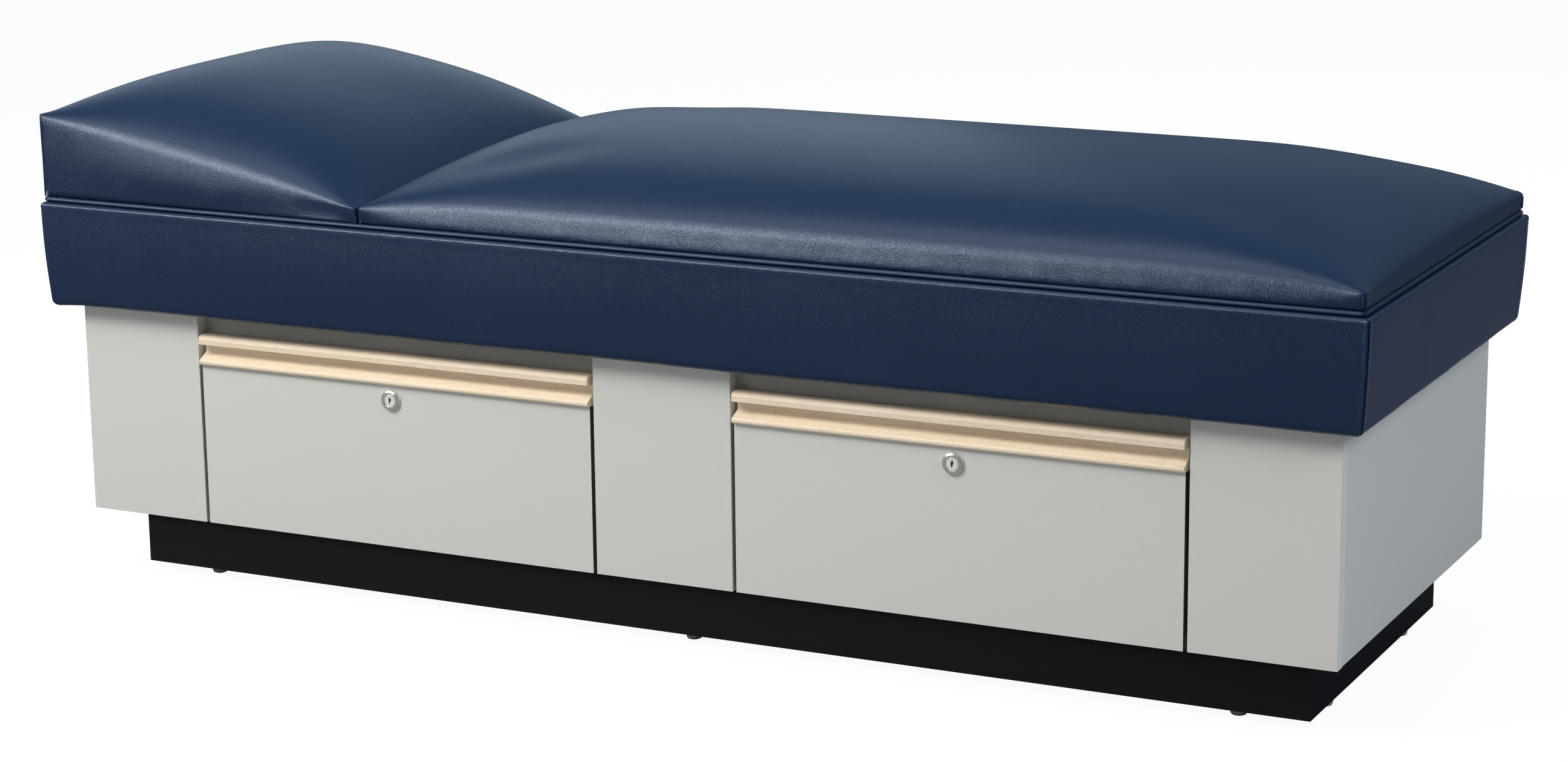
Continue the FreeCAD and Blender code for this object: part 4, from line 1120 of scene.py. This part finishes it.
# ------------------------------------------------------------------ finish of the CAD pieces
def both(*endings):
    return [hand + ending for hand in ("left", "right") for ending in endings]


# material: (bevel width in mm or None, pieces)
FINISH = {
    "laminate": (0.5, ["left_stile", "centre_stile", "right_stile", "back_panel"]),
    "drawer": (0.5, both("_drawer_front")),
    "rail": (0.4, ["front_top_rail"]),
    "end": (0.5, both("_end_panel")),
    "laminate_edge": (0.4, ["cabinet_bottom", "slide_partitions", "front_top_stretcher",
                            "back_top_stretcher"]),
    "black": (0.6, ["plinth_front_board", "plinth_back_board", "plinth_left_board",
                    "plinth_right_board", "plinth_brace"]),
    "maple": (0.7, both("_drawer_pull")),
    "dowel": (None, both("_pull_dowels")),
    "lumber_x": (1.2, ["couch_front_rail", "couch_back_rail"]),
    "lumber_y": (1.2, ["couch_end_rails", "couch_crossbars"]),
    "ply": (0.6, ["deck_board"]),
    "foam": (None, ["apron_padding", "main_cushion_foam", "pillow_foam"]),
    "melamine": (0.5, both("_drawer_box_sides", "_drawer_box_front", "_drawer_box_back",
                           "_drawer_box_bottom")),
    "zinc": (None, ["slide_outer_members"] + both("_slide_middle_members",
                                                  "_slide_inner_members",
                                                  "_lock_nut", "_lock_cam")),
    "screw": (None, ["base_screws", "top_screws"] + both("_front_screws")),
    "chrome": (None, both("_lock_housing")),
    "plug": (None, both("_lock_plug")),
    "vinyl": (None, ["main_cushion_cover", "pillow_cover", "apron_cover"]),
    "welt": (None, ["welt_cord"]),
    "glide": (None, ["floor_glides"]),
}
unfinished = set(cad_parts)
for kind, (bevel_mm, names) in FINISH.items():
    unfinished -= set(names)
    for name in names:
        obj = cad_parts[name]
        obj.data.materials.clear()
        obj.data.materials.append(MATERIALS[kind])
        if bevel_mm is not None:
            bevel = obj.modifiers.new("eased", "BEVEL")
            bevel.width = bevel_mm * 0.001
            bevel.segments = 2
            bevel.limit_method = "ANGLE"
            bevel.angle_limit = math.radians(24)
            bevel.harden_normals = False
            bevel.use_clamp_overlap = True
if unfinished:
    raise RuntimeError("nodes without a finish: %s" % sorted(unfinished))

# ------------------------------------------------------------------ floor
FLOOR_HALF = 40.0
FLOOR_GREY = (0.40, 0.40, 0.40)
FLOOR_IN_REFLECTIONS = (0.13, 0.14, 0.17)
FLOOR_GLOW = 1.10
GLOW_SHARE = 0.86  # how much of the glow the camera sees instead of the lit floor


def floor_material():
    material = bpy.data.materials.new("pale_floor")
    nodes = Nodes(material)
    output = nodes.add("ShaderNodeOutputMaterial")
    diffuse = nodes.add("ShaderNodeBsdfDiffuse")
    diffuse.inputs["Color"].default_value = (*FLOOR_GREY, 1)
    glossy_ray = nodes.add("ShaderNodeLightPath").outputs["Is Glossy Ray"]
    nodes.feed(diffuse.inputs["Color"],
               nodes.mix(glossy_ray, FLOOR_GREY, FLOOR_IN_REFLECTIONS))
    glow = nodes.add("ShaderNodeEmission")
    glow.inputs["Color"].default_value = (1, 1, 1, 1)
    glow.inputs["Strength"].default_value = FLOOR_GLOW
    mixer = nodes.add("ShaderNodeMixShader")
    camera_ray = nodes.add("ShaderNodeLightPath").outputs["Is Camera Ray"]
    nodes.feed(mixer.inputs[0], nodes.math("MULTIPLY", camera_ray, GLOW_SHARE))
    nodes.feed(mixer.inputs[1], diffuse.outputs[0])
    nodes.feed(mixer.inputs[2], glow.outputs[0])
    nodes.feed(output.inputs[0], mixer.outputs[0])
    return material


floor_mesh = bpy.data.meshes.new("studio_floor")
floor_mesh.from_pydata([(sx * FLOOR_HALF, sy * FLOOR_HALF, 0)
                        for sx, sy in ((-1, -1), (1, -1), (1, 1), (-1, 1))],
                       [], [(0, 1, 2, 3)])
floor = bpy.data.objects.new("studio_floor", floor_mesh)
collection.objects.link(floor)
floor_mesh.materials.append(floor_material())

# ------------------------------------------------------------------ world
ROOM_FRONT = (0.15, 0.151, 0.153)
ROOM_BACK = (0.14, 0.20, 0.245)
BACKDROP = (0.956, 0.958, 0.958, 1)  # what the camera sees


def build_world():
    """A room that is grey in front of the couch and bluer behind it, with a pale backdrop."""
    world = bpy.data.worlds.new("studio")
    scene.world = world
    nodes = Nodes(world)
    output = nodes.add("ShaderNodeOutputWorld")
    room = nodes.add("ShaderNodeBackground")
    backdrop = nodes.add("ShaderNodeBackground")
    direction = nodes.add("ShaderNodeTexCoord")
    parts = nodes.add("ShaderNodeSeparateXYZ")
    nodes.feed(parts.inputs[0], direction.outputs["Generated"])
    backward = nodes.remap(parts.outputs["Y"], span=(-1.0, 1.0))
    nodes.feed(room.inputs["Color"],
               nodes.ramp(backward, [(0.38, ROOM_FRONT), (0.62, ROOM_BACK)]))
    room.inputs["Strength"].default_value = 1.0
    backdrop.inputs["Color"].default_value = BACKDROP
    backdrop.inputs["Strength"].default_value = 1.0
    mixer = nodes.add("ShaderNodeMixShader")
    camera_ray = nodes.add("ShaderNodeLightPath").outputs["Is Camera Ray"]
    nodes.feed(mixer.inputs[0], camera_ray)
    nodes.feed(mixer.inputs[1], room.outputs[0])
    nodes.feed(mixer.inputs[2], backdrop.outputs[0])
    nodes.feed(output.inputs[0], mixer.outputs[0])


build_world()

# ------------------------------------------------------------------ lights
LIGHT_TARGET = Vector((0, 0, 0.35))
LIGHTS = [
    # name, azimuth, elevation, distance, width, height, watts, colour, rays that see it
    ("key_shine", -34, 17, 5.0, 2.6, 1.15, 205, (1.0, 0.99, 0.97), "glossy"),
    ("key", -30, 42, 4.2, 2.2, 1.5, 152, (1.0, 0.99, 0.97), "diffuse"),
    ("front_shine", -30, 40, 4.2, 4.4, 2.6, 62, (0.95, 0.98, 1.0), "glossy"),
    ("fill", 76, 34, 5.0, 2.6, 2.0, 92, (0.95, 0.98, 1.0), "diffuse"),
    ("back_shine", -140, 15, 5.0, 3.6, 1.8, 8, (0.75, 0.9, 1.0), "glossy"),
    ("back_fill", 168, 32, 5.0, 3.0, 2.0, 66, (0.98, 0.99, 1.0), "diffuse"),
    ("head_fill", -100, 26, 5.0, 2.4, 2.0, 30, (0.98, 0.99, 1.0), "diffuse"),
    ("top", -20, 74, 4.0, 3.0, 2.0, 40, (0.97, 0.99, 1.0), "both"),
]


def direction_to(azimuth, elevation):
    """Unit vector in degrees from straight in front (-Y), turning towards +X, and up."""
    a, e = math.radians(azimuth), math.radians(elevation)
    return Vector((math.sin(a) * math.cos(e), -math.cos(a) * math.cos(e), math.sin(e)))


def add_light(name, azimuth, elevation, distance, width, height, watts, colour, seen):
    light = bpy.data.lights.new(name, "AREA")
    light.shape = "RECTANGLE"
    light.size, light.size_y = width, height
    light.energy = watts
    light.color = colour
    obj = bpy.data.objects.new(name, light)
    direction = direction_to(azimuth, elevation)
    obj.location = LIGHT_TARGET + direction * distance
    obj.rotation_mode = "QUATERNION"
    obj.rotation_quaternion = (-direction).to_track_quat("-Z", "Y")
    collection.objects.link(obj)
    obj.visible_glossy = seen != "diffuse"
    obj.visible_diffuse = seen != "glossy"


for light_spec in LIGHTS:
    add_light(*light_spec)

# ------------------------------------------------------------------ camera
CAMERA_PLACE = (2.05389, -4.112265, 1.382323)
CAMERA_AZIMUTH, CAMERA_ELEVATION, CAMERA_ROLL = 26.3346, 13.3818, -0.6085  # degrees
SENSOR_WIDTH, FOCAL_LENGTH = 36.0, 82.20787661  # mm


def camera_rotation():
    back = direction_to(CAMERA_AZIMUTH, CAMERA_ELEVATION)
    level = Vector((0, 0, 1)).cross(back).normalized()
    upright = back.cross(level)
    roll = math.radians(CAMERA_ROLL)
    right = level * math.cos(roll) + upright * math.sin(roll)
    up = -level * math.sin(roll) + upright * math.cos(roll)
    return Matrix((right, up, back)).transposed().to_quaternion()


camera_data = bpy.data.cameras.new("camera")
camera = bpy.data.objects.new("camera", camera_data)
collection.objects.link(camera)
camera_data.sensor_width = SENSOR_WIDTH
camera_data.lens = FOCAL_LENGTH
camera_data.clip_start, camera_data.clip_end = 0.05, 200
camera.rotation_mode = "QUATERNION"
camera.rotation_quaternion = camera_rotation()
camera.location = CAMERA_PLACE
scene.camera = camera
scene.view_settings.view_transform = "Standard"
scene.view_settings.look = "None"

bpy.context.view_layer.update()
